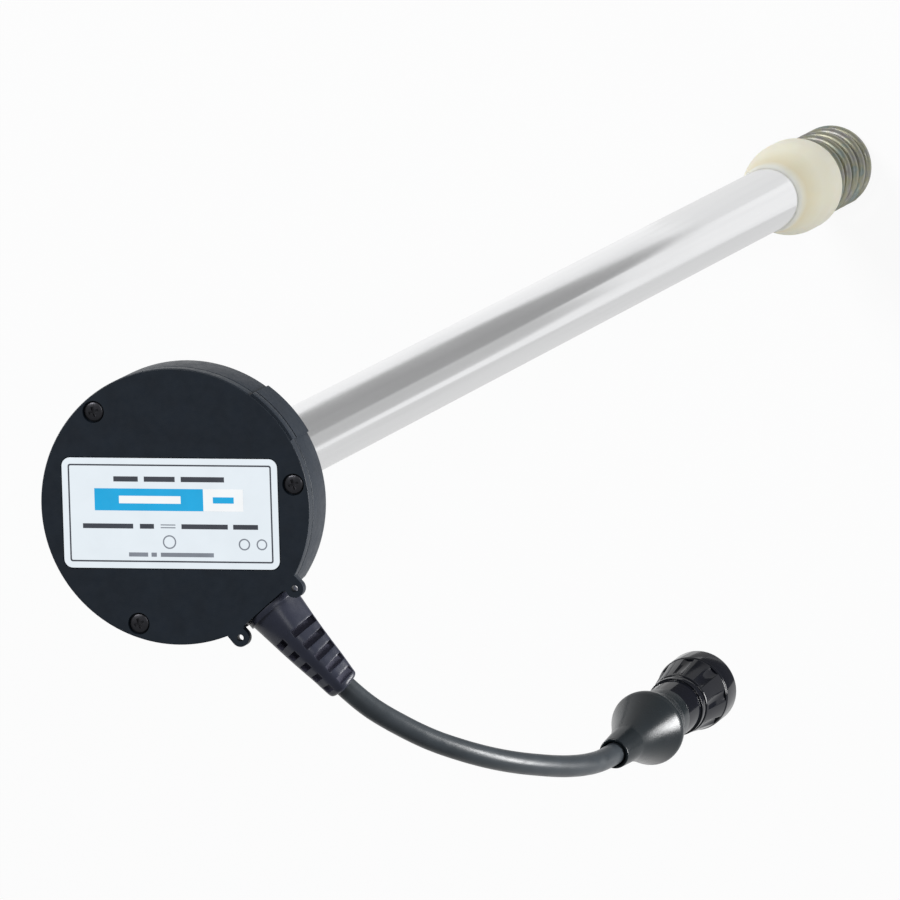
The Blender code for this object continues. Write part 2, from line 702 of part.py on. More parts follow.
def make_housing(material, cable_exit):
    groove_inner = SEAL_GROOVE_RADIUS - SEAL_GROOVE_WIDTH / 2
    groove_outer = SEAL_GROOVE_RADIUS + SEAL_GROOVE_WIDTH / 2
    oring_groove = TUBE_HOLE + ORING_SECTION + CLEARANCE
    oring_half = ORING_SECTION / 2 + CLEARANCE
    housing = turned_piece("housing", [
        (HOUSING_INNER_RADIUS, HOUSING_HEIGHT),
        (HEAD_RADIUS, HOUSING_HEIGHT),
        (HEAD_RADIUS, HEAD_CHAMFER),
        (HEAD_RADIUS - HEAD_CHAMFER, 0),
        (groove_outer, 0),
        (groove_outer, SEAL_GROOVE_DEPTH),
        (groove_inner, SEAL_GROOVE_DEPTH),
        (groove_inner, 0),
        (SPIGOT_RADIUS, 0),
        (SPIGOT_RADIUS, HEAD_CHAMFER - SPIGOT_LENGTH),
        (SPIGOT_RADIUS - HEAD_CHAMFER, -SPIGOT_LENGTH),
        (TUBE_HOLE, -SPIGOT_LENGTH),
        (TUBE_HOLE, -ORING_DEPTH - oring_half),
        (oring_groove, -ORING_DEPTH - oring_half),
        (oring_groove, -ORING_DEPTH + oring_half),
        (TUBE_HOLE, -ORING_DEPTH + oring_half),
        (TUBE_HOLE, HOUSING_FLOOR),
        (HOUSING_INNER_RADIUS, HOUSING_FLOOR),
    ], material, HEAD_SEGMENTS)

    foot = HOUSING_FLOOR / 2
    boss_radius = COVER_SCREW_RADIUS + BOSS_WALL + CLEARANCE
    bosses = rods_mesh("screw_bosses", boss_radius, foot, HOUSING_HEIGHT, cover_screw_centres())
    join(housing, "screw_bosses", bosses)
    posts = rods_mesh("board_posts", BOARD_SCREW_RADIUS + CLEARANCE + POST_WALL, foot,
                      BOARD_BOTTOM - CLEARANCE, board_screw_centres(), HOLE_SEGMENTS)
    join(housing, "board_posts", posts)

    pad_outline = sector_outline(HEAD_RADIUS - HOUSING_WALL / 2, HEAD_RADIUS + PAD_THICKNESS,
                                 PAD_START, PAD_END, 6)
    pad = plate_mesh("housing_pad", [pad_outline], PAD_INSET, HOUSING_HEIGHT)
    join(housing, "housing_pad", pad)
    lug_bottom = -SPIGOT_LENGTH + LUG_INSET
    for index in range(LUG_COUNT):
        start = LUG_START + 360 * index / LUG_COUNT
        outline = sector_outline(SPIGOT_RADIUS - LUG_REACH, SPIGOT_RADIUS + LUG_REACH,
                                 start, start + LUG_ANGLE, 4)
        name = f"lug_{index + 1}"
        lug = plate_mesh(name, [outline], lug_bottom, lug_bottom + LUG_HEIGHT)
        join(housing, name, lug)

    pilot = COVER_SCREW_RADIUS + CLEARANCE
    pilots = rods_mesh("screw_pilots", pilot, HOUSING_FLOOR + BOSS_FOOT - CLEARANCE,
                       HOUSING_HEIGHT + OVERCUT, cover_screw_centres(), HOLE_SEGMENTS)
    cut(housing, "screw_pilots", pilots)
    post_pilots = rods_mesh("post_pilots", BOARD_SCREW_RADIUS + CLEARANCE, HOUSING_FLOOR + CLEARANCE,
                            BOARD_BOTTOM + OVERCUT, board_screw_centres(), HOLE_SEGMENTS)
    cut(housing, "post_pilots", post_pilots)
    cut_exit(housing, cable_exit)


def cut_exit(housing, cable_exit):
    """Flatten the wall outside and inside, and open the slot that the strain relief drops into."""
    floor = HOUSING_FLOOR - EXIT_HEIGHT
    top = HOUSING_HEIGHT + OVERCUT - EXIT_HEIGHT
    chord = block_between((0, -HEAD_RADIUS, -EXIT_HEIGHT - OVERCUT), (HEAD_RADIUS, HEAD_RADIUS, top))
    cut(housing, "housing_chord", blocks_mesh("housing_chord", [chord]), cable_exit)
    inner_face = CHORD_DEPTH - HOUSING_WALL
    half = BOOT_GRIP_HALF_WIDTH + CLEARANCE
    pocket = block_between((inner_face - HOUSING_WALL, -half, floor), (inner_face, half, top))
    cut(housing, "grip_pocket", blocks_mesh("grip_pocket", [pocket]), cable_exit)
    outline = neck_outline(BOOT_NECK_RADIUS + CLEARANCE, top)
    slot = plate_mesh("neck_slot", [outline], inner_face - OVERCUT, OVERCUT, OUTWARD)
    cut(housing, "neck_slot", slot, cable_exit)


def neck_outline(radius, top):
    """A U with its round end down, as (sideways, up) points."""
    return arc_outline(radius, 180, 360, 8) + [(radius, top), (-radius, top)]


def make_board(materials, cable_exit):
    hole_radius = BOARD_SCREW_RADIUS + CLEARANCE
    holes = [circle_outline(hole_radius, HOLE_SEGMENTS, spot) for spot in board_screw_centres()]
    outlines = [circle_outline(BOARD_RADIUS, HEAD_SEGMENTS)] + holes
    board = plate_mesh("circuit_board", outlines, BOARD_BOTTOM, BOARD_TOP)
    add_piece("circuit_board", board, materials["board"])

    seat = BOARD_TOP + CLEARANCE
    chip = block_between((CHIP_X - CHIP_SIZE / 2, CHIP_Y - CHIP_SIZE / 2, seat),
                         (CHIP_X + CHIP_SIZE / 2, CHIP_Y + CHIP_SIZE / 2, seat + CHIP_HEIGHT))
    add_piece("measuring_chip", blocks_mesh("measuring_chip", [chip]), materials["plug"])
    can = turned_piece("capacitor", [
        (0, seat + CAPACITOR_HEIGHT),
        (CAPACITOR_RADIUS - CAPACITOR_BEVEL, seat + CAPACITOR_HEIGHT),
        (CAPACITOR_RADIUS, seat + CAPACITOR_HEIGHT - CAPACITOR_BEVEL),
        (CAPACITOR_RADIUS, seat),
        (0, seat),
    ], materials["aluminium"], SMALL_SEGMENTS)
    can.location = (CAPACITOR_X, CAPACITOR_Y, 0)

    profile = screw_profile(seat, BOARD_SCREW_RADIUS, BOARD_SCREW_LENGTH,
                            BOARD_SCREW_HEAD_RADIUS, BOARD_SCREW_HEAD_HEIGHT)
    for index, (x, y) in enumerate(board_screw_centres(), 1):
        screw = turned_piece(f"board_screw_{index}", profile, materials["steel"], HOLE_SEGMENTS)
        screw.location = (x, y, 0)
    make_terminal(materials, cable_exit)


def make_terminal(materials, cable_exit):
    """The terminal block, and the wires that reach it from the cable's end."""
    face = TERMINAL_FACE - CHORD_DISTANCE
    bottom = BOARD_TOP + CLEARANCE - EXIT_HEIGHT
    half = WIRE_PITCH * WIRE_COUNT / 2
    body = block_between((face - TERMINAL_DEPTH, -half, bottom), (face, half, bottom + TERMINAL_HEIGHT))
    block = add_piece("wire_terminal", blocks_mesh("wire_terminal", [body]), materials["board"], cable_exit)
    entry_height = bottom + TERMINAL_HEIGHT / 2
    entries = [(WIRE_PITCH * (index - (WIRE_COUNT - 1) / 2), entry_height) for index in range(WIRE_COUNT)]
    holes = [circle_outline(WIRE_RADIUS + CLEARANCE, HOLE_SEGMENTS, spot) for spot in entries]
    for index, outline in enumerate(holes, 1):
        name = f"wire_entry_{index}"
        depth = WIRE_ENTRY + CLEARANCE
        hole = plate_mesh(name, [outline], face - depth, face + OVERCUT, OUTWARD)
        cut(block, name, hole, cable_exit)

    start = CABLE_ROUTE[0][0] - CLEARANCE
    middle = (start + face) / 2
    for index, (sideways, up) in enumerate(entries, 1):
        row = 1 if index in (2, 3) else -1
        inner = math.copysign(WIRE_SPREAD, sideways)
        knots = [
            (start, inner, row * WIRE_SPREAD),
            (start - WIRE_SPREAD, inner, row * WIRE_SPREAD + up * WIRE_RISE_SHARE),
            (middle, (inner + sideways) / 2, up),
            (face + WIRE_SPREAD, sideways, up),
            (face - WIRE_ENTRY, sideways, up),
        ]
        curve = wire_curve(f"board_wire_{index}", smooth_route(knots, WIRE_POINT_SPACING), WIRE_RADIUS)
        add_piece(f"board_wire_{index}", curve, materials["wire"], cable_exit)


def make_seat_seal(material):
    half = SEAL_GROOVE_WIDTH / 2 - CLEARANCE
    inner, outer = SEAL_GROOVE_RADIUS - half, SEAL_GROOVE_RADIUS + half
    top = SEAL_GROOVE_DEPTH - CLEARANCE
    edge = half / 2
    turned_piece("flange_seal", [
        (inner, top),
        (outer, top),
        (outer, -SEAL_PROUD + edge / 2),
        (outer - edge, -SEAL_PROUD),
        (inner + edge, -SEAL_PROUD),
        (inner, -SEAL_PROUD + edge / 2),
    ], material, HEAD_SEGMENTS)


def make_tube(materials):
    tube = turned_piece("outer_tube", ring_profile(TUBE_BORE, TUBE_RADIUS, TUBE_BOTTOM, TUBE_TOP),
                        materials["aluminium"], TUBE_SEGMENTS)
    across = Matrix.Rotation(math.radians(VENT_AZIMUTH), 4, "Z") @ OUTWARD
    vent = circle_outline(VENT_RADIUS, HOLE_SEGMENTS, (0, -VENT_DEPTH))
    hole = plate_mesh("vent", [vent], 0, 2 * TUBE_RADIUS, across)
    cut(tube, "vent", hole)

    nut_bottom = HOUSING_FLOOR + CLEARANCE
    outlines = [circle_outline(NUT_CORNER_RADIUS, 6), circle_outline(TUBE_HOLE, TUBE_SEGMENTS)]
    nut = plate_mesh("tube_nut", outlines, nut_bottom, nut_bottom + NUT_HEIGHT)
    add_piece("tube_nut", nut, materials["brass"])
    oring_radius = TUBE_HOLE + ORING_SECTION / 2
    turned_piece("tube_oring", round_profile(oring_radius, -ORING_DEPTH, ORING_SECTION),
                 materials["seal"], TUBE_SEGMENTS)


def make_electrode(materials):
    bore = ELECTRODE_RADIUS - ELECTRODE_WALL
    turned_piece("inner_electrode", ring_profile(bore, ELECTRODE_RADIUS, ELECTRODE_BOTTOM, ELECTRODE_TOP),
                 materials["aluminium"], TUBE_SEGMENTS)
    plug_radius = bore - CLEARANCE
    turned_piece("electrode_terminal", [
        (0, BOARD_BOTTOM - CLEARANCE),
        (TERMINAL_STUD_RADIUS, BOARD_BOTTOM - CLEARANCE),
        (TERMINAL_STUD_RADIUS, ELECTRODE_TOP),
        (plug_radius, ELECTRODE_TOP),
        (plug_radius, ELECTRODE_TOP - TERMINAL_PLUG_LENGTH),
        (0, ELECTRODE_TOP - TERMINAL_PLUG_LENGTH),
    ], materials["brass"], SMALL_SEGMENTS)

    seat = TUBE_TOP + CLEARANCE
    turned_piece("top_insulator", [
        (ELECTRODE_HOLE, seat + INSULATOR_FLANGE_HEIGHT),
        (INSULATOR_FLANGE_RADIUS, seat + INSULATOR_FLANGE_HEIGHT),
        (INSULATOR_FLANGE_RADIUS, seat),
        (CORE_RADIUS, seat),
        (CORE_RADIUS, seat - INSULATOR_LENGTH),
        (ELECTRODE_HOLE, seat - INSULATOR_LENGTH),
    ], materials["nylon"], TUBE_SEGMENTS)
    for index in range(SPACER_COUNT):
        make_spacer(index + 1, -SPACER_PITCH * (index + 1), materials["nylon"])
    make_bottom_insulator(materials["nylon"])


def make_spacer(index, height, material):
    """A lobed ring that keeps the electrode centred and lets fuel pass."""
    ring = ELECTRODE_HOLE + SPACER_WALL
    rise = CORE_RADIUS - ring
    points = 8 * SPACER_LOBES
    outline = []
    for step in range(points):
        angle = 360 * step / points
        lobe = max(0, math.cos(math.radians(angle * SPACER_LOBES)))
        outline.append(polar(ring + rise * lobe, angle))
    outlines = [outline, circle_outline(ELECTRODE_HOLE, TUBE_SEGMENTS)]
    half = SPACER_HEIGHT / 2
    name = f"spacer_{index}"
    add_piece(name, plate_mesh(name, outlines, height - half, height + half), material)


def make_bottom_insulator(material):
    socket = ELECTRODE_BOTTOM - CLEARANCE
    top = socket + PLUG_SOCKET_DEPTH
    plug = turned_piece("bottom_insulator", [
        (ELECTRODE_HOLE, top),
        (CORE_RADIUS, top),
        (CORE_RADIUS, TUBE_BOTTOM),
        (PLUG_BORE_RADIUS, TUBE_BOTTOM),
        (PLUG_BORE_RADIUS, socket),
        (ELECTRODE_HOLE, socket),
    ], material, TUBE_SEGMENTS)
    passages = rods_mesh("fuel_passages", PLUG_PASSAGE_RADIUS, TUBE_BOTTOM - OVERCUT, top + OVERCUT,
                         ring_of(PLUG_PASSAGES, CORE_RADIUS, PLUG_PASSAGE_START), HOLE_SEGMENTS)
    cut(plug, "fuel_passages", passages)


def make_collar(material):
    """The stop at the probe's foot: it flares from the tube and carries the spring."""
    lip = TUBE_HOLE + COLLAR_LIP_WALL
    flare = [(lip, COLLAR_TOP)]
    flare_steps = 4
    for step in range(1, flare_steps + 1):
        share = step / flare_steps
        flare.append((lip + (COLLAR_FLARE_RADIUS - lip) * share ** COLLAR_FLARE_POWER,
                      COLLAR_TOP - COLLAR_FLARE_LENGTH * share))
    crown_steps = 3
    for step in range(1, crown_steps + 1):
        angle = math.pi / 2 * step / crown_steps
        flare.append((COLLAR_FLARE_RADIUS + (COLLAR_RADIUS - COLLAR_FLARE_RADIUS) * math.sin(angle),
                      COLLAR_TOP - COLLAR_FLARE_LENGTH - COLLAR_CROWN_LENGTH * step / crown_steps))
    boss_radius = SPRING_MEAN_RADIUS - SPRING_WIRE / 2 - CLEARANCE
    boss_end = COLLAR_FACE - COLLAR_BOSS_LENGTH
    shoulder = TUBE_BOTTOM - CLEARANCE
    turned_piece("stop_collar", [(TUBE_HOLE, COLLAR_TOP)] + flare + [
        (COLLAR_RADIUS, COLLAR_FACE + COLLAR_CHAMFER),
        (COLLAR_RADIUS - COLLAR_CHAMFER, COLLAR_FACE),
        (boss_radius, COLLAR_FACE),
        (boss_radius, boss_end + COLLAR_CHAMFER),
        (boss_radius - COLLAR_CHAMFER, boss_end),
        (COLLAR_HOLE_RADIUS, boss_end),
        (COLLAR_HOLE_RADIUS, shoulder),
        (TUBE_HOLE, shoulder),
    ], material, COLLAR_SEGMENTS)


def coil_points(turns, start_angle, start_height, pitch_at):
    """Points down a coil whose pitch, by the turns made so far, comes from pitch_at."""
    points = []
    height = start_height
    count = round(turns * SPRING_POINTS_PER_TURN)
    for step in range(count + 1):
        done = turns * step / count
        x, y = polar(SPRING_MEAN_RADIUS, start_angle + 360 * done)
        points.append((x, y, height))
        height -= pitch_at(done) * turns / count
    return points


def body_pitch(turns_done):
    """Closed at the top, open along the body."""
    return SPRING_CLOSED_PITCH if turns_done < SPRING_TOP_TURNS else SPRING_PITCH


def make_spring(material, foot_parent):
    top = COLLAR_FACE - CLEARANCE - SPRING_WIRE / 2
    turns = SPRING_TOP_TURNS + SPRING_TURNS
    body = coil_points(turns, SPRING_START, top, body_pitch)
    add_piece("bottom_spring", wire_curve("bottom_spring", body, SPRING_WIRE / 2), material)

    gap_angle = 2 * math.degrees(CLEARANCE / SPRING_MEAN_RADIUS)
    start_angle = SPRING_START + 360 * turns + gap_angle
    end_coil = coil_points(1, start_angle, body[-1][2], lambda turns_done: SPRING_CLOSED_PITCH)
    curve = wire_curve("spring_end", end_coil, SPRING_WIRE / 2)
    mesh = mesh_from_curve(curve, foot_parent.matrix_world.inverted())
    foot = add_piece("spring_end", mesh, material, foot_parent)
    ground = end_coil[-1][2] - SPRING_WIRE / 2 + SPRING_GRIND
    half = 2 * SPRING_MEAN_RADIUS
    below = block_between((-half, -half, ground - SPRING_WIRE), (half, half, ground))
    cut(foot, "spring_grind", blocks_mesh("spring_grind", [below]))


def boot_radius(distance):
    """Corner radius of the strain relief at a distance from the wall."""
    if distance < BOOT_SOLID_LENGTH:
        share = max(0, distance - BOOT_FLANGE_THICKNESS) / (BOOT_SOLID_LENGTH - BOOT_FLANGE_THICKNESS)
        return BOOT_ROOT_RADIUS + (BOOT_SHOULDER_RADIUS - BOOT_ROOT_RADIUS) * share
    share = (distance - BOOT_SOLID_LENGTH) / (BOOT_LENGTH - BOOT_SOLID_LENGTH)
    return BOOT_SHOULDER_RADIUS + (BOOT_TIP_RADIUS - BOOT_SHOULDER_RADIUS) * share


def boot_squareness(distance):
    return BOOT_SQUARENESS * min(1, distance / BOOT_SOLID_LENGTH)


def boot_place(fine_route, distance):
    """Centre, forward, sideways and up directions of the strain relief at a distance."""
    start = -CABLE_ROUTE[0][0]
    centre = point_along(fine_route, start + distance)
    ahead = point_along(fine_route, start + distance + SLOT_WIDTH)
    behind = point_along(fine_route, start + distance - SLOT_WIDTH)
    forward = (ahead - behind).normalized()
    sideways = Vector((0, 0, 1)).cross(forward).normalized()
    return centre, forward, sideways, forward.cross(sideways)


def boot_loft(fine_route):
    """The strain relief's body, round at its root and rounded square along its slots."""
    shape = bmesh.new()
    rings = []
    first = BOOT_FLANGE_THICKNESS / 2
    for station in range(BOOT_STATIONS + 1):
        distance = first + (BOOT_LENGTH - first) * station / BOOT_STATIONS
        centre, forward, sideways, up = boot_place(fine_route, distance)
        ring = []
        for step in range(BOOT_POINTS):
            angle = 360 * step / BOOT_POINTS
            swing = 1 - math.cos(math.radians(4 * (angle - BOOT_CORNER_ANGLE)))
            radius = boot_radius(distance) * (1 - boot_squareness(distance) * swing / 2)
            x, y = polar(radius, angle)
            ring.append(shape.verts.new(centre + sideways * x + up * y))
        rings.append(ring)
    for near, far in zip(rings, rings[1:]):
        for index in range(BOOT_POINTS):
            after = (index + 1) % BOOT_POINTS
            shape.faces.new((near[index], near[after], far[after], far[index]))
    shape.faces.new(reversed(rings[0]))
    shape.faces.new(rings[-1])
    return mesh_from_bmesh("boot_body", shape)


def slot_blocks(fine_route, face_angle, width_at):
    """Boxes that cut slots down to the cable, in the faces at one angle and its opposite."""
    blocks = []
    depth = 2 * BOOT_ROOT_RADIUS - SLOT_FLOOR
    for index in range(SLOT_COUNT):
        distance = SLOT_FIRST + SLOT_PITCH * index
        centre, forward, sideways, up = boot_place(fine_route, distance)
        x, y = polar(1, face_angle)
        normal = sideways * x + up * y
        along = forward.cross(normal)
        turn = Matrix((forward, normal, along)).transposed().to_4x4()
        size = (SLOT_WIDTH, depth, width_at(distance))
        for side in (1, -1):
            middle = centre + normal * side * (SLOT_FLOOR + depth / 2)
            blocks.append((Matrix.Translation(middle) @ turn, size))
    return blocks


def boot_half_width(distance):
    return boot_radius(distance) * (1 - boot_squareness(distance))


def make_boot(material, cable_exit, cable_points):
    fine_route = smooth_route(CABLE_ROUTE, CABLE_RADIUS / 4)
    boot = add_piece("cable_boot", boot_loft(fine_route), material, cable_exit)

    flange = plate_mesh("boot_flange", [circle_outline(BOOT_FLANGE_RADIUS, TUBE_SEGMENTS)],
                        CLEARANCE, CLEARANCE + BOOT_FLANGE_THICKNESS, OUTWARD)
    join(boot, "boot_flange", flange, cable_exit)
    top = HOUSING_HEIGHT - EXIT_HEIGHT
    grip_face = CHORD_DEPTH - HOUSING_WALL - CLEARANCE
    grip_back = grip_face - BOOT_GRIP_THICKNESS
    neck = plate_mesh("boot_neck", [neck_outline(BOOT_NECK_RADIUS, top)], grip_face - BOOT_GRIP_THICKNESS / 2,
                      CLEARANCE + BOOT_FLANGE_THICKNESS / 2, OUTWARD)
    join(boot, "boot_neck", neck, cable_exit)
    grip = block_between((grip_back, -BOOT_GRIP_HALF_WIDTH, HOUSING_FLOOR + CLEARANCE - EXIT_HEIGHT),
                         (grip_face, BOOT_GRIP_HALF_WIDTH, top))
    join(boot, "boot_grip", blocks_mesh("boot_grip", [grip]), cable_exit)

    cut(boot, "boot_bore", cable_bore(cable_points), cable_exit)
    slots = slot_blocks(fine_route, BOOT_FACE_ANGLE,
                        lambda distance: 2 * (boot_half_width(distance) - SLOT_SIDE_WALL))
    cut(boot, "boot_slots", blocks_mesh("boot_slots", slots), cable_exit)
    windows = slot_blocks(fine_route, BOOT_SIDE_ANGLE,
                          lambda distance: 2 * boot_half_width(distance) * SLOT_WINDOW_SHARE)
    cut(boot, "boot_windows", blocks_mesh("boot_windows", windows), cable_exit)


def cable_bore(points):
    """The cable's way through a rubber piece, a little wider than the cable."""
    curve = wire_curve("cable_bore", points, CABLE_RADIUS + CABLE_BORE_GAP, CABLE_FINENESS)
    return mesh_from_curve(curve)


def make_cable(material, cable_exit, cable_points):
    curve = wire_curve("cable", cable_points, CABLE_RADIUS, CABLE_FINENESS)
    add_piece("cable", curve, material, cable_exit)


def down(profile):
    """A profile given as (radius, distance from the lip), laid along -Z."""
    return [(radius, -distance) for radius, distance in profile]


def make_sleeve(material, plug_axis, cable_exit, cable_points):
    """The plug's rubber sleeve: a bulb that tapers on to the cable."""
    bulb = []
    steps = 4
    for step in range(1, steps + 1):
        share = step / steps
        swell = share ** SLEEVE_SWELL_POWER
        bulb.append((SLEEVE_NECK_RADIUS + (SLEEVE_RADIUS - SLEEVE_NECK_RADIUS) * swell,
                     SLEEVE_NECK_LENGTH + (SLEEVE_WIDEST - SLEEVE_NECK_LENGTH) * share))
    shoulder = []
    for step in range(1, steps + 1):
        share = step / steps
        ease = (1 + math.cos(math.pi * share)) / 2
        shoulder.append((SLEEVE_TAIL_RADIUS + (SLEEVE_RADIUS - SLEEVE_TAIL_RADIUS) * ease,
                         SLEEVE_WIDEST + (SLEEVE_TAIL_START - SLEEVE_WIDEST) * share))
    socket = SHELL_TAIL_RADIUS + CLEARANCE
    sleeve = turned_piece("connector_boot", down(
        [(0, 0), (SLEEVE_LIP_RADIUS - HEAD_CHAMFER, 0), (SLEEVE_LIP_RADIUS, HEAD_CHAMFER),
         (SLEEVE_NECK_RADIUS, SLEEVE_NECK_LENGTH)] + bulb + shoulder
        + [(SLEEVE_TAIL_RADIUS, SLEEVE_LENGTH), (socket, SLEEVE_LENGTH), (socket, SLEEVE_WIRE_DEPTH),
           (SLEEVE_WIRE_RADIUS, SLEEVE_WIRE_DEPTH), (SLEEVE_WIRE_RADIUS, SLEEVE_CABLE_DEPTH),
           (0, SLEEVE_CABLE_DEPTH)]), material, TUBE_SEGMENTS, plug_axis)
    cut(sleeve, "sleeve_bore", cable_bore(cable_points), cable_exit)


def make_shell(material, plug_axis):
    step = SLEEVE_LENGTH + CLEARANCE
    flange_end = SHELL_FLANGE_START + SHELL_FLANGE_LENGTH
    ridge = RING_START + RING_SHOULDER_LENGTH + CLEARANCE
    ridge_end = ridge + SHELL_RIDGE_LENGTH
    tail_bore = SHELL_TAIL_RADIUS - SHELL_WALL
    barrel_bore = SHELL_BARREL_RADIUS - SHELL_BARREL_WALL
    groove_half = MOUTH_SEAL_SECTION / 2 + CLEARANCE
    groove = SHELL_BARREL_RADIUS - MOUTH_SEAL_GROOVE
    turned_piece("connector_shell", down([
        (tail_bore, SHELL_TAIL_START),
        (SHELL_TAIL_RADIUS, SHELL_TAIL_START),
        (SHELL_TAIL_RADIUS, step),
        (SHELL_RADIUS, step),
        (SHELL_RADIUS, SHELL_FLANGE_START),
        (SHELL_FLANGE_RADIUS, SHELL_FLANGE_START),
        (SHELL_FLANGE_RADIUS, flange_end),
        (SHELL_BARREL_RADIUS, flange_end),
        (SHELL_BARREL_RADIUS, ridge),
        (SHELL_RIDGE_RADIUS, ridge),
        (SHELL_BARREL_RADIUS, ridge_end),
        (SHELL_BARREL_RADIUS, MOUTH_SEAL_PLACE - groove_half),
        (groove, MOUTH_SEAL_PLACE - groove_half),
        (groove, MOUTH_SEAL_PLACE + groove_half),
        (SHELL_BARREL_RADIUS, MOUTH_SEAL_PLACE + groove_half),
        (SHELL_BARREL_RADIUS, SHELL_LENGTH),
        (barrel_bore, SHELL_LENGTH),
        (barrel_bore, INSERT_SEAT),
        (tail_bore, INSERT_SEAT),
    ]), material, TUBE_SEGMENTS, plug_axis)


def make_ring(material, plug_axis):
    """The coupling ring that turns on the shell, fluted outside."""
    collar = RING_END - RING_COLLAR_LENGTH
    shoulder_end = RING_START + RING_SHOULDER_LENGTH
    mouth = RING_END - RING_MOUTH_LENGTH
    shoulder_bore = SHELL_BARREL_RADIUS + CLEARANCE
    ring = turned_piece("coupling_ring", down([
        (shoulder_bore, RING_START),
        (RING_START_RADIUS - HEAD_CHAMFER, RING_START),
        (RING_START_RADIUS, RING_START + HEAD_CHAMFER),
        (RING_RADIUS, collar),
        (RING_COLLAR_RADIUS, collar + HEAD_CHAMFER),
        (RING_COLLAR_RADIUS, RING_END - HEAD_CHAMFER),
        (RING_COLLAR_RADIUS - HEAD_CHAMFER, RING_END),
        (RING_MOUTH_RADIUS, RING_END),
        (RING_MOUTH_RADIUS, mouth),
        (RING_BORE_RADIUS, mouth),
        (RING_BORE_RADIUS, shoulder_end),
        (shoulder_bore, shoulder_end),
    ]), material, TUBE_SEGMENTS, plug_axis)
    flute_length = collar - RING_START
    lean = math.atan2(RING_RADIUS - RING_START_RADIUS, flute_length)
    flutes = bmesh.new()
    for index in range(RING_FLUTES):
        middle = (RING_START_RADIUS + RING_RADIUS) / 2 + RING_FLUTE_RADIUS - RING_FLUTE_DEPTH
        place = (Matrix.Rotation(math.tau * index / RING_FLUTES, 4, "Z")
                 @ Matrix.Translation((middle, 0, -(RING_START + collar) / 2))
                 @ Matrix.Rotation(-lean, 4, "Y"))
        bmesh.ops.create_cone(flutes, cap_ends=True, segments=SMALL_SEGMENTS, radius1=RING_FLUTE_RADIUS,
                              radius2=RING_FLUTE_RADIUS, depth=flute_length - 2 * HEAD_CHAMFER, matrix=place)
    cut(ring, "flutes", mesh_from_bmesh("flutes", flutes), plug_axis)


def make_contacts(materials, plug_axis):
    spots = ring_of(CONTACT_COUNT, CONTACT_CIRCLE, CONTACT_START)
    insert_radius = SHELL_BARREL_RADIUS - SHELL_BARREL_WALL - CLEARANCE
    holes = [circle_outline(CONTACT_RADIUS + CLEARANCE, HOLE_SEGMENTS, spot) for spot in spots]
    outlines = [circle_outline(insert_radius, TUBE_SEGMENTS)] + holes
    insert = plate_mesh("contact_insert", outlines, -INSERT_FACE, -INSERT_SEAT - CLEARANCE)
    add_piece("contact_insert", insert, materials["plug"], plug_axis)
    wire_end = SLEEVE_CABLE_DEPTH + CLEARANCE
    for index, (x, y) in enumerate(spots, 1):
        contact = rods_mesh(f"contact_{index}", CONTACT_RADIUS, -CONTACT_FACE, -CONTACT_BACK, [(x, y)],
                            HOLE_SEGMENTS)
        add_piece(f"contact_{index}", contact, materials["brass"], plug_axis)
        inner_x, inner_y = math.copysign(WIRE_SPREAD, x), math.copysign(WIRE_SPREAD, y)
        knots = [
            (inner_x, inner_y, -wire_end - CLEARANCE),
            (inner_x, inner_y, -SLEEVE_WIRE_DEPTH),
            (x, y, -(SLEEVE_WIRE_DEPTH + CONTACT_BACK) / 2),
            (x, y, -CONTACT_BACK + CLEARANCE),
        ]
        curve = wire_curve(f"connector_wire_{index}", knots, WIRE_RADIUS)
        add_piece(f"connector_wire_{index}", curve, materials["wire"], plug_axis)
    seal_radius = SHELL_BARREL_RADIUS - MOUTH_SEAL_GROOVE + CLEARANCE + MOUTH_SEAL_SECTION / 2
    turned_piece("connector_seal", round_profile(seal_radius, -MOUTH_SEAL_PLACE, MOUTH_SEAL_SECTION),
                 materials["seal"], TUBE_SEGMENTS, plug_axis)


def finish_pieces():
    """Apply every mesh piece's modifiers and shade it smooth up to its sharp edges."""
    depsgraph = bpy.context.evaluated_depsgraph_get()
    made = {}
    for piece in PARTS.objects:
        if piece.type == "MESH":
            made[piece] = bpy.data.meshes.new_from_object(piece.evaluated_get(depsgraph))
    for piece, mesh in made.items():
        piece.modifiers.clear()
        piece.data = mesh
        mesh.shade_smooth()
        mesh.set_sharp_from_angle(angle=math.radians(SHARP_ANGLE))


def main():
    materials = make_materials()
    cable_exit = add_empty("cable_exit", None, (*polar(CHORD_DISTANCE, EXIT_AZIMUTH), EXIT_HEIGHT),
                           (0, 0, EXIT_AZIMUTH))
    plug_axis = add_empty("plug_axis", cable_exit, CONNECTOR_LIP, (0, -CONNECTOR_TILT, CONNECTOR_TURN))
    spring_foot = add_empty("spring_foot", None, (0, 0, COLLAR_FACE))
    bpy.context.view_layer.update()
    cable_points = smooth_route(CABLE_ROUTE, CABLE_POINT_SPACING)

    make_cover(materials["head"], cable_exit)
    make_label(materials["label"])
    make_gasket(materials["seal"])
    make_cover_screws(materials["dark_steel"])
    make_housing(materials["head"], cable_exit)
    make_board(materials, cable_exit)
    make_seat_seal(materials["seal"])
    make_tube(materials)
    make_electrode(materials)
    make_collar(materials["nylon"])
    make_spring(materials["zinc"], spring_foot)
    make_boot(materials["boot"], cable_exit, cable_points)
    make_cable(materials["cable"], cable_exit, cable_points)
    make_sleeve(materials["plug"], plug_axis, cable_exit, cable_points)
    make_shell(materials["plug"], plug_axis)
    make_ring(materials["plug"], plug_axis)
    make_contacts(materials, plug_axis)
    finish_pieces()


main()
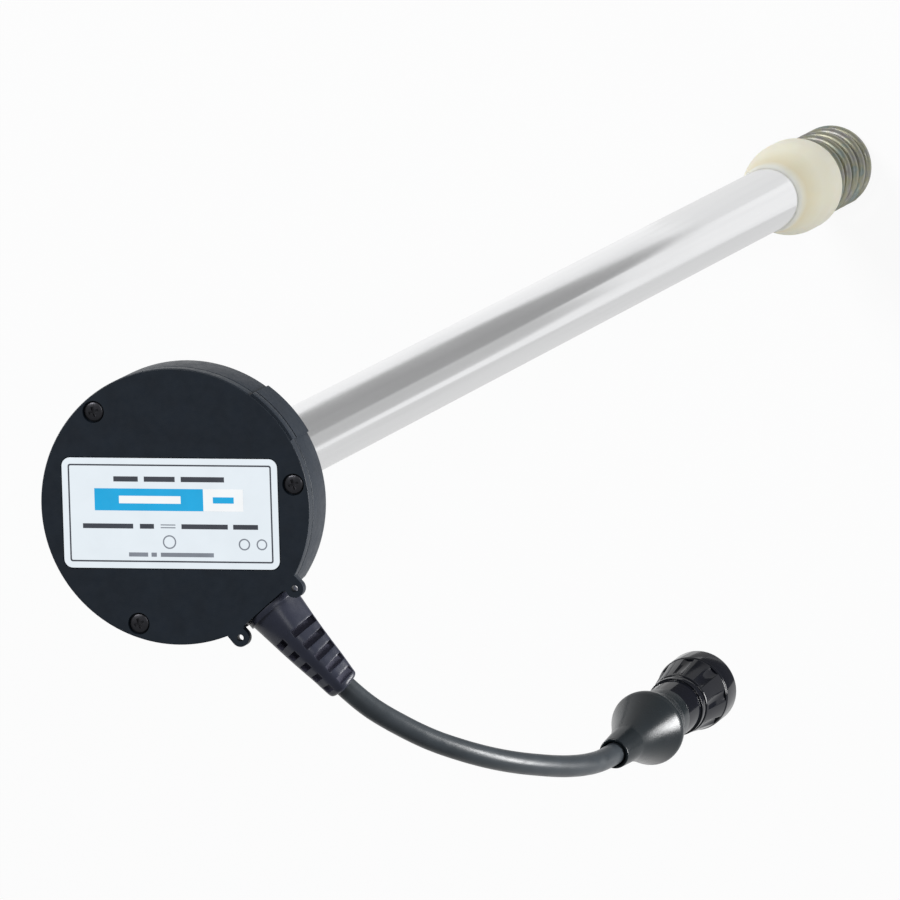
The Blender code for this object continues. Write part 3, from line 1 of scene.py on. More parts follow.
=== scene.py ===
"""Looks of the fuel level sender: fine pieces, materials, light and camera around its solids.

Lengths are metres and angles are degrees. The frame is that of the solids: the origin is the
centre of the head's seat, +Z points out of the cover and the probe hangs along -Z.
"""
import json
import math

import bmesh
import bpy
from mathutils import Euler, Matrix, Vector

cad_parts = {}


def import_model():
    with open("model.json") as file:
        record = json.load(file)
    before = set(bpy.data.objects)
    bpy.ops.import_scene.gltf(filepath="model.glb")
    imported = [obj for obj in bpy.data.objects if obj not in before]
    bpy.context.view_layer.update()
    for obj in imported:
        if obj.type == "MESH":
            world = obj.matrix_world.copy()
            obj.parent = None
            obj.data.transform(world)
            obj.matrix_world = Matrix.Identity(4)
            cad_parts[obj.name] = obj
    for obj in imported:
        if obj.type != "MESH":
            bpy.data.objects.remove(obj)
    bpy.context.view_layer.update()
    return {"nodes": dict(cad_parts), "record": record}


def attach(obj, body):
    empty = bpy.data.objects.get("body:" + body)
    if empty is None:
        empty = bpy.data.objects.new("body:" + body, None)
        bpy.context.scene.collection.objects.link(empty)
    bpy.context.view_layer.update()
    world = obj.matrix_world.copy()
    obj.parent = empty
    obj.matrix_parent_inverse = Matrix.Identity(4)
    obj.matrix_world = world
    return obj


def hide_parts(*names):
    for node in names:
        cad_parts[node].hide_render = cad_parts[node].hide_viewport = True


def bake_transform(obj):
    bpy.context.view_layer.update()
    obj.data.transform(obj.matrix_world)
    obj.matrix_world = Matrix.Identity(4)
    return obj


# Mesh fineness and fits
CLEARANCE = 0.0003
OVERCUT = 0.002
WELD = 0.000001
SHARP_ANGLE = 32
FLAT_AREA = 0.000001
LEVEL = 0.99999
HEAD_SEGMENTS = 144
ROUND_SEGMENTS = 96
SMALL_SEGMENTS = 40
EDGE_ROUND = 0.00035
FILLET_STEPS = 4
FILLET_REACH = 0.45
CORNER_STEPS = 8
BEVEL_STEPS = 2
ROUTE_STEPS = 12
MM = 1000

# Head
HEAD_RADIUS = 0.0400
HEAD_EDGE = 0.00018
HOUSING_HEIGHT = 0.0136
HOUSING_WALL = 0.0035
HOUSING_FLOOR = 0.0035
COVER_BOTTOM = HOUSING_HEIGHT + CLEARANCE
COVER_UNDERSIDE = 0.0150
COVER_TOP = 0.0180
COVER_RIM = 0.0014
PAD_THICKNESS = 0.0007
PAD_START = 29
PAD_END = 54
PAD_INSET = 0.0006
PAD_STEPS = 24
SPIGOT_RADIUS = 0.0172
SPIGOT_LENGTH = 0.0120
LUG_REACH = 0.0026
LUG_HEIGHT = 0.0030
LUG_ANGLE = 40
LUG_INSET = 0.0006
LUG_COUNT = 3
LUG_START = 103
LUG_STEPS = 20
SEAL_GROOVE_RADIUS = 0.0232
SEAL_GROOVE_WIDTH = 0.0040
SEAL_GROOVE_DEPTH = 0.0016

# Cover screws
SCREW_COUNT = 3
SCREW_START = 10.8
SCREW_CIRCLE = 0.0360
SCREW_RADIUS = 0.00135
SCREW_LENGTH = 0.0105
SCREW_HEAD_RADIUS = 0.0028
SCREW_HEAD_HEIGHT = 0.0012
SCREW_DOME = 0.0005
SCREW_POCKET = 0.0004
SCREW_POCKET_DEPTH = 0.0018
SCREW_POCKET_SEGMENTS = 64
SCREW_DOME_STEPS = 8
SCREW_EDGE = 0.00006
CROSS_WIDTH = 0.0008
CROSS_LENGTH = 0.0030
CROSS_DEPTH = 0.0008
CROSS_TURN = 20

# Sealing ears beside the cable, in the exit's frame
EAR_SPREAD = 0.0110
EAR_REACH = 0.0019
EAR_RADIUS = 0.0026
EAR_HOLE_RADIUS = 0.0010
EAR_ROOT = 0.00153
EAR_ROOT_INNER = 0.0085
EAR_ROOT_OUTER = 0.0135
EAR_STEPS = 20

# Label. Its fields are (look, printed layers, [(left, bottom, right, top)]) and its round marks are
# (x, y, radius), all in millimetres
LABEL_CENTRE = (-0.00137, -0.00194)
LABEL_SIZE = (0.0642, 0.0319)
LABEL_CORNER = 0.0025
LABEL_SINK = 0.00025
LABEL_THICKNESS = 0.0003
LABEL_LINE_INSET = 0.0018
LABEL_LINE_WIDTH = 0.00045
LABEL_LINE_CORNER = 0.0004
PRINT_THICKNESS = 0.00002
PRINTED = {
    "label_blue_field": ("blue", 1, [(-23.9, -1.2, 8.5, 5.2)]),
    "label_white_field": ("white", 1, [(8.5, -1.2, 20.4, 5.2)]),
    "label_pale_bars": ("white", 2, [(-16.6, 0.9, 1.8, 3.1)]),
    "label_blue_bars": ("blue", 2, [(11.4, 1.1, 17.6, 2.9)]),
    "label_ink_bars": ("ink", 1, [
        (-18.1, 7.2, -10.8, 8.7), (-9.0, 7.2, 0.2, 8.7), (2.0, 7.2, 14.9, 8.7), (-27.6, -6.4, -12.6, -5.0),
        (-10.6, -6.4, -6.4, -5.0), (1.8, -6.4, 15.6, -5.0), (17.2, -6.4, 24.6, -5.0),
    ]),
    "label_grey_bars": ("grey_ink", 1, [
        (-4.4, -5.4, 0.0, -5.1), (-4.4, -6.2, 0.0, -5.9), (-14.1, -14.5, -8.4, -13.3),
        (-7.4, -14.5, -5.8, -13.3), (-4.6, -14.5, 11.2, -13.3),
    ]),
}
ROUND_MARKS = [(-1.9, -10.2, 2.0), (20.4, -10.7, 1.7), (25.6, -10.7, 1.6)]
ROUND_MARK_LINE = 0.0004

# Probe
TUBE_RADIUS = 0.0105
TUBE_WALL = 0.0010
TUBE_TOP = 0.0065
TUBE_BOTTOM = -0.7200
TUBE_RINGS = 60
VENT_RADIUS = 0.0015
VENT_DEPTH = 0.0220
VENT_AZIMUTH = 110
TUBE_HOLE = TUBE_RADIUS + CLEARANCE

# Bottom stop
COLLAR_TOP = -0.6900
COLLAR_LIP_WALL = 0.0004
COLLAR_RADIUS = 0.0156
COLLAR_FLARE_RADIUS = 0.0142
COLLAR_FLARE_LENGTH = 0.0220
COLLAR_FLARE_POWER = 1.6
COLLAR_FLARE_STEPS = 16
COLLAR_CROWN_STEPS = 12
COLLAR_CROWN_LENGTH = 0.0090
COLLAR_FACE = COLLAR_TOP - 0.0420
COLLAR_HOLE_RADIUS = 0.0060
COLLAR_BOSS_LENGTH = 0.0100
COLLAR_ROUND = 0.0012
COLLAR_FIT = 0.00003

# Spring
SPRING_MEAN_RADIUS = 0.0124
SPRING_WIRE = 0.0030
SPRING_TOP_TURNS = 0.75
SPRING_BODY_TURNS = 4.4
SPRING_END_TURNS = 1.0
SPRING_PITCH = 0.0098
SPRING_CLOSED_PITCH = SPRING_WIRE + CLEARANCE
SPRING_START = 250
SPRING_GRIND = 0.0006
SPRING_STEPS_PER_TURN = 60
SPRING_SIDES = 20

# Cable exit and strain relief
EXIT_AZIMUTH = -49
EXIT_HEIGHT = 0.0094
CHORD_DEPTH = 0.0014
CHORD_HALF_WIDTH = 0.0079
BOOT_NECK_RADIUS = 0.0055
NECK_STEPS = 24
BOOT_FLANGE_RADIUS = 0.0087
BOOT_FLANGE_THICKNESS = 0.0016
BOOT_GRIP_HALF_WIDTH = 0.0075
BOOT_GRIP_THICKNESS = 0.0018
BOOT_ROOT_RADIUS = 0.0082
BOOT_SHOULDER_RADIUS = 0.0072
BOOT_TIP_RADIUS = 0.00495
BOOT_SOLID_LENGTH = 0.0109
BOOT_LENGTH = 0.0317
BOOT_SQUARENESS = 0.12
BOOT_CORNERS = 4
BOOT_CORNER_ANGLE = 85
BOOT_FACE_ANGLE = BOOT_CORNER_ANGLE - 45
BOOT_SIDE_ANGLE = BOOT_CORNER_ANGLE + 45
BOOT_STATIONS = 44
BOOT_POINTS = 72
TIP_STEPS = 6
BOOT_EDGE = 0.00022
SLOT_COUNT = 5
SLOT_PITCH = 0.0044
SLOT_WIDTH = 0.0022
SLOT_FIRST = 0.0112
SLOT_SIDE_WALL = 0.0016
SLOT_WINDOW_SHARE = 0.38
BOOT_TIP_ROUND = 0.0012

# Cable route in the exit's frame, as (out, sideways, up)
CABLE_RADIUS = 0.0032
CABLE_BORE_GAP = 0.0004
SLOT_SKIN = 0.0003
SLOT_FLOOR = CABLE_RADIUS + CABLE_BORE_GAP + SLOT_SKIN
CABLE_SPACING = 0.0015
BORE_SPACING = 2 * CABLE_SPACING
BOOT_SPACING = CABLE_RADIUS / 4
CABLE_SIDES = 32
CONNECTOR_LIP = (0.0934, 0.0210, -0.0883)
CABLE_ROUTE = [
    (-0.0056, 0.0, 0.0), (0.0010, 0.0, 0.0), (0.0060, 0.0, 0.0),
    (0.0115, 0.0, 0.0), (0.0171, 0.0, -0.0003), (0.0242, 0.0, -0.0012),
    (0.0316, -0.0002, -0.0026), (0.0410, 0.0005, -0.0057), (0.0501, 0.0023, -0.0103),
    (0.0586, 0.0044, -0.0162), (0.0661, 0.0069, -0.0231), (0.0728, 0.0094, -0.0309),
    (0.0785, 0.0118, -0.0393), (0.0834, 0.0141, -0.0484), (0.0875, 0.0160, -0.0579),
    (0.0907, 0.0178, -0.0678), (0.0927, 0.0194, -0.0780), CONNECTOR_LIP,
    (0.0933, 0.0222, -0.0953), (0.0932, 0.0233, -0.1021),
]

# Plug, along its axis from the rubber lip
CONNECTOR_TILT = 9.6
CONNECTOR_TURN = 94.2
SLEEVE_LIP_RADIUS = 0.0045
SLEEVE_LIP_ROUND = 0.0005
SLEEVE_NECK_RADIUS = 0.0052
SLEEVE_NECK_LENGTH = 0.0090
SLEEVE_RADIUS = 0.0112
SLEEVE_WIDEST = 0.0275
SLEEVE_SWELL_POWER = 1.3
SLEEVE_TAIL_RADIUS = 0.0084
SLEEVE_TAIL_START = 0.0370
SLEEVE_LENGTH = 0.0410
SLEEVE_BORE_DEPTH = 0.0130
SLEEVE_STEPS = 18
SHELL_TAIL_RADIUS = 0.0070
SHELL_TAIL_START = 0.0203
SHELL_WALL = 0.0014
SHELL_ROUND = 0.0003
SHELL_RADIUS = 0.0081
SHELL_FLANGE_RADIUS = 0.0088
SHELL_FLANGE_START = 0.0505
SHELL_FLANGE_LENGTH = 0.0025
SHELL_BARREL_RADIUS = 0.0074
SHELL_BARREL_WALL = 0.0010
SHELL_RIDGE_RADIUS = 0.0082
SHELL_RIDGE_LENGTH = 0.0012
SHELL_LENGTH = 0.0690
SEAL_PLACE = 0.0645
SEAL_GROOVE_HALF = 0.00065
SEAL_GROOVE_SINK = 0.0005
INSERT_SEAT = 0.0480
RING_START = 0.0533
RING_LENGTH = 0.0195
RING_START_RADIUS = 0.0090
RING_RADIUS = 0.0109
RING_COLLAR_RADIUS = 0.0112
RING_COLLAR_LENGTH = 0.0080
RING_SHOULDER_LENGTH = 0.0037
RING_BORE_RADIUS = 0.0085
RING_MOUTH_RADIUS = 0.0097
RING_MOUTH_LENGTH = 0.0060
RING_FLUTES = 8
RING_FLUTE_RADIUS = 0.0030
RING_FLUTE_DEPTH = 0.0006
RING_FLUTE_MARGIN = 0.001
RING_ROUND = 0.0008
RING_EDGE = 0.00012

# Looks. A grained one is (name, colour, least and most roughness, grain, bump depth), with its
# metallic, specular and cloud contrast after them where they aren't the usual
NOISE_RANGE = (0.3, 0.7)
CLOUD_COARSENESS = 12
GLOSS_COARSENESS = 5
CREASE_CLOUD = 0.15
GRAINED = {
    "head": ("moulded_black", (0.0075, 0.0118, 0.0185), 0.42, 0.54, 2200, 20e-6, 0.0, 0.22),
    "label": ("label_film", (0.82, 0.88, 0.93), 0.30, 0.40, 1500, 4e-6, 0.0, 0.5, 0.02),
    "ink": ("dark_print", (0.045, 0.050, 0.065), 0.35, 0.45, 1500, 4e-6),
    "grey_ink": ("grey_print", (0.22, 0.24, 0.28), 0.35, 0.45, 1500, 4e-6),
    "blue": ("blue_print", (0.010, 0.400, 0.750), 0.30, 0.40, 1500, 4e-6, 0.0, 0.5, 0.05),
    "white": ("white_print", (0.95, 0.96, 0.97), 0.30, 0.40, 1500, 4e-6, 0.0, 0.5, 0.02),
    "dark_steel": ("blackened_steel", (0.035, 0.035, 0.040), 0.25, 0.42, 3000, 10e-6, 0.8),
    "steel": ("bright_steel", (0.62, 0.62, 0.64), 0.22, 0.36, 3000, 6e-6, 1.0),
    "boot_rubber": ("boot_rubber", (0.020, 0.022, 0.034), 0.28, 0.38, 1800, 8e-6, 0.0, 0.20),
    # slot_shade is painted shade: a duller, less glossy copy of the boot's rubber for the faces inside its
    # slots.
    "slot_shade": ("shaded_rubber", (0.030, 0.030, 0.046), 0.50, 0.62, 1800, 12e-6, 0.0, 0.1),
    "cable_jacket": ("cable_jacket", (0.026, 0.031, 0.036), 0.28, 0.40, 1500, 8e-6, 0.0, 0.28),
    "plug": ("gloss_black", (0.0035, 0.0040, 0.0065), 0.07, 0.14, 900, 4e-6, 0.0, 0.22),
    "sleeve": ("plug_rubber", (0.0030, 0.0056, 0.0076), 0.22, 0.29, 1200, 6e-6, 0.0, 0.24),
    "seal": ("black_rubber", (0.020, 0.020, 0.021), 0.60, 0.75, 1600, 20e-6),
    "board": ("green_board", (0.03, 0.18, 0.07), 0.38, 0.50, 2000, 10e-6),
    "brass": ("brass", (0.70, 0.52, 0.22), 0.24, 0.38, 2500, 6e-6, 1.0),
    "wire": ("wire_jacket", (0.40, 0.05, 0.04), 0.40, 0.52, 2000, 10e-6),
}

# Camera, in the place and at the angle of the photograph
CAMERA_PLACE = (1.1983, 0.6048, 4.0993)
CAMERA_RIGHT = (0.96522, -0.02826, -0.25990)
CAMERA_UP = (-0.00875, 0.99009, -0.14016)
CAMERA_BACK = (0.26129, 0.13756, 0.95541)
CAMERA_LENS = 600
CAMERA_SENSOR = 36
CAMERA_CLIP = (0.1, 100)

# Stage, its cards as (tone, outline on the floor), and lights as (place, aim, size, power, beam). The cards
# are grey glowing sheets that only gloss sees: painted reflections
FLOOR_HEIGHT = -0.7841
FLOOR_RADIUS = 12.0
WHITE = (1.0, 1.0, 1.0)
FLOOR_COLOUR = (0.86, 0.86, 0.87)
FLOOR_WHITE_SHARE = 0.91
WORLD_COLOUR = (0.95, 0.98, 1.00)
WORLD_STRENGTH = 0.34
CARD_LIFT = 0.0005
CARDS = {
    "dark_card": (0.38, [
        (0.049, 0.066), (0.081, 0.054), (0.110, 0.064), (0.139, 0.073), (0.210, 0.101), (0.290, 0.130),
        (0.240, 0.260), (0.100, 0.330), (-0.070, 0.330), (-0.120, 0.260), (-0.085, 0.214),
        (-0.032, 0.152), (0.002, 0.126), (0.026, 0.099), (0.033, 0.083),
    ]),
    "middle_card": (0.56, [
        (0.115, 0.000), (0.150, -0.030), (0.300, -0.070), (0.330, 0.060), (0.290, 0.130), (0.210, 0.101),
        (0.139, 0.073), (0.110, 0.064),
    ]),
    "pale_card": (0.73, [
        (0.012, -0.008), (0.110, -0.075), (0.240, -0.110), (0.210, -0.250), (0.000, -0.320),
        (-0.200, -0.250), (-0.120, -0.110), (-0.010, -0.012),
    ]),
    "foot_card": (0.84, [
        (0.050, 0.052), (0.030, 0.066), (0.006, 0.079), (-0.034, 0.073), (-0.063, 0.046), (-0.073, 0.004),
        (-0.069, -0.020), (-0.034, -0.012), (-0.020, 0.010), (-0.006, 0.024), (0.010, 0.030),
        (0.026, 0.028),
    ]),
    "plug_card": (0.14, [
        (0.332, -0.047), (0.930, -0.198), (0.950, 0.000), (0.823, 0.475), (0.475, 0.823), (0.083, 0.946),
        (0.087, 0.350), (0.237, 0.300), (0.340, 0.180),
    ]),
}
LIGHTS = {
    "key_light": ((-1.1, 1.5, 1.9), (0.03, 0.0, -0.2), (0.9, 0.9), 50, 180),
    "top_light": ((1.1, 0.55, 1.9), (0.06, -0.03, -0.1), (0.5, 0.5), 10, 180),
    "right_light": ((1.35, 0.05, -0.30), (0.08, -0.05, -0.08), (0.7, 0.35), 3.8, 50),
    "foot_light": ((0.60, -0.40, -0.45), (0.0, 0.0, -0.74), (0.3, 0.2), 0.10, 60),
    "left_light": ((-1.30, 0.45, -0.25), (0.06, -0.04, -0.08), (0.7, 0.30), 2.2, 50),
}


def polar(radius, angle):
    return radius * math.cos(math.radians(angle)), radius * math.sin(math.radians(angle))


def ring_of(count, radius, start=0):
    return [polar(radius, start + 360 * index / count) for index in range(count)]


def arc(radius, start, end, steps, centre=(0, 0)):
    angles = [start + (end - start) * index / steps for index in range(steps + 1)]
    return [(centre[0] + x, centre[1] + y) for x, y in (polar(radius, a) for a in angles)]


def sector(inner, outer, start, end, steps):
    return arc(outer, start, end, steps) + arc(inner, end, start, steps)


def rounded_rectangle(length, width, corner, centre):
    outline = []
    for quarter, (side_x, side_y) in enumerate([(1, 1), (-1, 1), (-1, -1), (1, -1)]):
        middle = (centre[0] + side_x * (length / 2 - corner), centre[1] + side_y * (width / 2 - corner))
        outline += arc(corner, 90 * quarter, 90 * quarter + 90, CORNER_STEPS, middle)
    return outline


def z_turn(angle):
    return Matrix.Rotation(math.radians(angle), 4, "Z")


SCREW_CENTRES = ring_of(SCREW_COUNT, SCREW_CIRCLE, SCREW_START)
UNMOVED = Matrix.Identity(4)

# The cable's exit has X out of the wall, Y sideways and Z up. The plug runs from its lip along -Z
EXIT_PLACE = (*polar(HEAD_RADIUS - CHORD_DEPTH, EXIT_AZIMUTH), EXIT_HEIGHT)
EXIT = Matrix.Translation(EXIT_PLACE) @ z_turn(EXIT_AZIMUTH)
PLUG_TURN = Euler((0, math.radians(-CONNECTOR_TILT), math.radians(CONNECTOR_TURN)))
PLUG = EXIT @ Matrix.Translation(CONNECTOR_LIP) @ PLUG_TURN.to_matrix().to_4x4()

# Turns a plate so that its X, Y and thickness run sideways, up and out of the head's wall
OUTWARD = Matrix(((0, 0, 1, 0), (1, 0, 0, 0), (0, 1, 0, 0), (0, 0, 0, 1)))


def fillet(points, radius=EDGE_ROUND, closed=False):
    """The same (radius, height) profile with its corners rounded."""
    spots = [Vector(point) for point in points]
    count = len(spots)
    smooth = []
    for index, spot in enumerate(spots):
        if not closed and index in (0, count - 1):
            smooth.append(spot)
            continue
        before = spots[index - 1] - spot
        after = spots[(index + 1) % count] - spot
        reach = min(radius, FILLET_REACH * before.length, FILLET_REACH * after.length)
        start = spot + before.normalized() * reach
        end = spot + after.normalized() * reach
        for step in range(FILLET_STEPS + 1):
            t = step / FILLET_STEPS
            smooth.append(start * (1 - t) ** 2 + spot * 2 * t * (1 - t) + end * t ** 2)
    return [tuple(spot) for spot in smooth]


def eased(start, end, steps, ease):
    """Profile points after start and up to end, whose radius follows an ease of their share."""
    points = []
    for step in range(1, steps + 1):
        share = step / steps
        radius = start[0] + (end[0] - start[0]) * ease(share)
        points.append((radius, start[1] + (end[1] - start[1]) * share))
    return points


def plain_mesh(name, shape):
    mesh = bpy.data.meshes.new(name)
    shape.to_mesh(mesh)
    shape.free()
    return mesh


def flat_mesh(name, outlines, height):
    """One face for each outline, all at one height."""
    shape = bmesh.new()
    for outline in outlines:
        shape.faces.new([shape.verts.new((x, y, height)) for x, y in outline])
    return plain_mesh(name, shape)


def new_mesh(name, shape, matrix=UNMOVED):
    bmesh.ops.remove_doubles(shape, verts=shape.verts, dist=WELD)
    bmesh.ops.recalc_face_normals(shape, faces=shape.faces)
    bmesh.ops.transform(shape, matrix=matrix, verts=shape.verts)
    return plain_mesh(name, shape)


def bridge(shape, near, far):
    """Quads between two rings of vertices, where one vertex stands for a whole ring on the axis."""
    count = max(len(near), len(far))
    for index in range(count):
        after = (index + 1) % count
        corners = [near[index % len(near)], near[after % len(near)],
                   far[after % len(far)], far[index % len(far)]]
        loop = [corner for place, corner in enumerate(corners) if corner not in corners[:place]]
        if len(loop) > 2:
            shape.faces.new(loop)


def revolve(name, profile, segments=ROUND_SEGMENTS, matrix=UNMOVED):
    """A (radius, height) profile turned about Z. It closes on itself unless it ends on the axis."""
    shape = bmesh.new()
    rings = []
    for radius, height in profile:
        spots = [(0, 0)] if radius < WELD else ring_of(segments, radius)
        rings.append([shape.verts.new((x, y, height)) for x, y in spots])
    for near, far in zip(rings, rings[1:]):
        bridge(shape, near, far)
    if len(rings[0]) > 1 and len(rings[-1]) > 1:
        bridge(shape, rings[-1], rings[0])
    return new_mesh(name, shape, matrix)


def prism(name, outline, bottom, top, matrix=UNMOVED):
    shape = bmesh.new()
    low = [shape.verts.new((x, y, bottom)) for x, y in outline]
    high = [shape.verts.new((x, y, top)) for x, y in outline]
    shape.faces.new(list(reversed(low)))
    shape.faces.new(high)
    bridge(shape, low, high)
    return new_mesh(name, shape, matrix)


def block(name, low, high, matrix=UNMOVED):
    low, high = Vector(low), Vector(high)
    shape = bmesh.new()
    place = Matrix.Translation((low + high) / 2) @ Matrix.Diagonal((*(high - low), 1))
    bmesh.ops.create_cube(shape, size=1, matrix=place)
    return new_mesh(name, shape, matrix)


def add_rod(shape, radius, length, place, segments=SMALL_SEGMENTS):
    bmesh.ops.create_cone(shape, cap_ends=True, segments=segments, radius1=radius,
                          radius2=radius, depth=length, matrix=place)


def rods(name, radius, bottom, top, centres, matrix=UNMOVED, segments=SMALL_SEGMENTS):
    shape = bmesh.new()
    for x, y in centres:
        place = Matrix.Translation((x, y, (bottom + top) / 2))
        add_rod(shape, radius, top - bottom, place, segments)
    return new_mesh(name, shape, matrix)


def loft(name, rings, matrix=UNMOVED):
    """Rings of points joined one to the next, with a face over each end."""
    shape = bmesh.new()
    placed = [[shape.verts.new(point) for point in ring] for ring in rings]
    for near, far in zip(placed, placed[1:]):
        bridge(shape, near, far)
    shape.faces.new(list(reversed(placed[0])))
    shape.faces.new(placed[-1])
    return new_mesh(name, shape, matrix)


def sweep(name, points, radius, sides, matrix=UNMOVED):
    """A round wire along points, without twist."""
    points = [Vector(point) for point in points]
    rings = []
    normal = None
    for index, point in enumerate(points):
        ahead = points[min(index + 1, len(points) - 1)]
        behind = points[max(index - 1, 0)]
        forward = (ahead - behind).normalized()
        if normal is None:
            normal = forward.orthogonal().normalized()
        normal = (normal - forward * normal.dot(forward)).normalized()
        across = forward.cross(normal)
        rings.append([point + normal * x + across * y for x, y in ring_of(sides, radius)])
    return loft(name, rings, matrix)


def smooth_route(points, spacing):
    """Points one spacing apart along a Catmull-Rom curve through the given points."""
    knots = [Vector(point) for point in points]
    knots = [2 * knots[0] - knots[1]] + knots + [2 * knots[-1] - knots[-2]]
    fine = []
    for before, start, end, after in zip(knots, knots[1:], knots[2:], knots[3:]):
        for step in range(ROUTE_STEPS):
            t = step / ROUTE_STEPS
            fine.append(0.5 * (2 * start + (end - before) * t
                               + (2 * before - 5 * start + 4 * end - after) * t ** 2
                               + (3 * start - before - 3 * end + after) * t ** 3))
    fine.append(knots[-2])
    length = route_length(fine)
    count = max(1, round(length / spacing))
    return [point_along(fine, length * index / count) for index in range(count + 1)]


def route_length(points):
    return sum((end - start).length for start, end in zip(points, points[1:]))


def point_along(points, distance):
    for start, end in zip(points, points[1:]):
        step = (end - start).length
        if distance <= step:
            return start.lerp(end, distance / step)
        distance -= step
    return points[-1].copy()


def add_object(name, data):
    added = bpy.data.objects.new(name, data)
    bpy.context.scene.collection.objects.link(added)
    return added


def new_piece(mesh, materials, look, body="sender"):
    """A piece of the dressed model, with the material of its look."""
    piece = add_object(mesh.name, mesh)
    piece.data.materials.append(materials[look])
    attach(piece, body)
    return piece


def combine(piece, operation, tools):
    """Booleans with the tools' meshes, applied at once."""
    shapes = [add_object(mesh.name, mesh) for mesh in tools]
    for tool in shapes:
        modifier = piece.modifiers.new(tool.name, "BOOLEAN")
        modifier.operation = operation
        modifier.solver = "EXACT"
        modifier.material_mode = "TRANSFER"
        modifier.object = tool
        weld = piece.modifiers.new("weld", "WELD")
        weld.merge_threshold = WELD
    apply_modifiers(piece)
    for tool in shapes:
        bpy.data.objects.remove(tool)


def apply_modifiers(piece):
    bpy.context.view_layer.update()
    depsgraph = bpy.context.evaluated_depsgraph_get()
    mesh = bpy.data.meshes.new_from_object(piece.evaluated_get(depsgraph))
    piece.modifiers.clear()
    piece.data = mesh


def join(piece, *tools):
    combine(piece, "UNION", tools)


def cut(piece, *tools):
    combine(piece, "DIFFERENCE", tools)


def soften(piece, width):
    """Round the piece's sharp edges a little."""
    bevel = piece.modifiers.new("soft_edges", "BEVEL")
    bevel.width = width
    bevel.segments = BEVEL_STEPS
    bevel.limit_method = "ANGLE"
    bevel.angle_limit = math.radians(SHARP_ANGLE)
    apply_modifiers(piece)


def shade(piece):
    piece.data.shade_smooth()
    piece.data.set_sharp_from_angle(angle=math.radians(SHARP_ANGLE))
    for face in piece.data.polygons:
        if face.area > FLAT_AREA and abs(face.normal.z) > LEVEL:
            face.use_smooth = False


def tree(owner):
    return owner.node_tree.nodes, owner.node_tree.links


def socket(node, name, value):
    node.inputs[name].default_value = value


def new_node(nodes, kind, **values):
    """A new node with values set on its inputs."""
    node = nodes.new(kind)
    for name, value in values.items():
        socket(node, name, value)
    return node


def new_material(name, colour, roughness, metallic=0.0, specular=0.5):
    material = bpy.data.materials.new(name)
    material.use_nodes = True
    shader = material.node_tree.nodes["Principled BSDF"]
    socket(shader, "Base Color", (*colour, 1.0))
    socket(shader, "Roughness", roughness)
    socket(shader, "Metallic", metallic)
    socket(shader, "Specular IOR Level", specular)
    material.diffuse_color = (*colour, 1.0)
    return material


def noise(material, scale, detail, stretch=(1, 1, 1)):
    """A noise over the piece, in the solids' frame, finer as the scale grows."""
    nodes, links = tree(material)
    place = nodes.new("ShaderNodeTexCoord")
    mapping = new_node(nodes, "ShaderNodeMapping", Scale=stretch)
    texture = new_node(nodes, "ShaderNodeTexNoise", Scale=scale, Detail=detail)
    links.new(place.outputs["Object"], mapping.inputs["Vector"])
    links.new(mapping.outputs["Vector"], texture.inputs["Vector"])
    return texture.outputs["Fac"]


def spread(material, factor, source, target):
    """The factor with its source range spread over the target range."""
    nodes, links = tree(material)
    ranges = nodes.new("ShaderNodeMapRange")
    for name, value in zip(("From Min", "From Max", "To Min", "To Max"), (*source, *target)):
        socket(ranges, name, value)
    links.new(factor, ranges.inputs["Value"])
    return ranges.outputs["Result"]


def calculate(nodes, links, operation, first, second):
    step = nodes.new("ShaderNodeMath")
    step.operation = operation
    links.new(first, step.inputs[0])
    links.new(second, step.inputs[1])
    return step.outputs["Value"]


def vary_colour(material, factor, *stops):
    """Base colour from a ramp of (position, colour)."""
    nodes, links = tree(material)
    ramp = nodes.new("ShaderNodeValToRGB")
    elements = ramp.color_ramp.elements
    while len(elements) < len(stops):
        elements.new(0.5)
    for element, (position, colour) in zip(elements, stops):
        element.position = position
        element.color = (*colour, 1.0)
    links.new(factor, ramp.inputs["Fac"])
    links.new(ramp.outputs["Color"], nodes["Principled BSDF"].inputs["Base Color"])


def vary_roughness(material, low, high, *pattern):
    nodes, links = tree(material)
    uneven = spread(material, noise(material, *pattern), NOISE_RANGE, (low, high))
    links.new(uneven, nodes["Principled BSDF"].inputs["Roughness"])


def add_bump(material, distance, *pattern):
    nodes, links = tree(material)
    bump = new_node(nodes, "ShaderNodeBump", Strength=1.0, Distance=distance)
    links.new(noise(material, *pattern), bump.inputs["Height"])
    links.new(bump.outputs["Normal"], nodes["Principled BSDF"].inputs["Normal"])


def tone(colour, share):
    return tuple(channel * share for channel in colour)


def grained(name, colour, low, high, grain, depth, metallic=0.0, specular=0.5, contrast=0.12):
    """A material with a moulded grain, uneven gloss and a slight cloud in its colour."""
    material = new_material(name, colour, (low + high) / 2, metallic, specular)
    start, end = NOISE_RANGE
    vary_colour(material, noise(material, grain / CLOUD_COARSENESS, 4),
                (start, tone(colour, 1 - contrast)), (end, tone(colour, 1 + contrast)))
    vary_roughness(material, low, high, grain / GLOSS_COARSENESS, 3)
    add_bump(material, depth, grain, 2)
    return material


def make_aluminium():
    """Drawn tube: lines along it and uneven satin gloss."""
    colour = (0.82, 0.825, 0.835)
    material = new_material("satin_aluminium", colour, 0.16, 1.0)
    lines = noise(material, 260, 3, (1, 1, 0.012))
    vary_colour(material, lines, (0.25, tone(colour, 0.93)), (0.75, tone(colour, 1.04)))
    vary_roughness(material, 0.11, 0.19, 60, 4, (1, 1, 0.15))
    add_bump(material, 4e-6, 900, 2, (1, 1, 0.01))
    return material


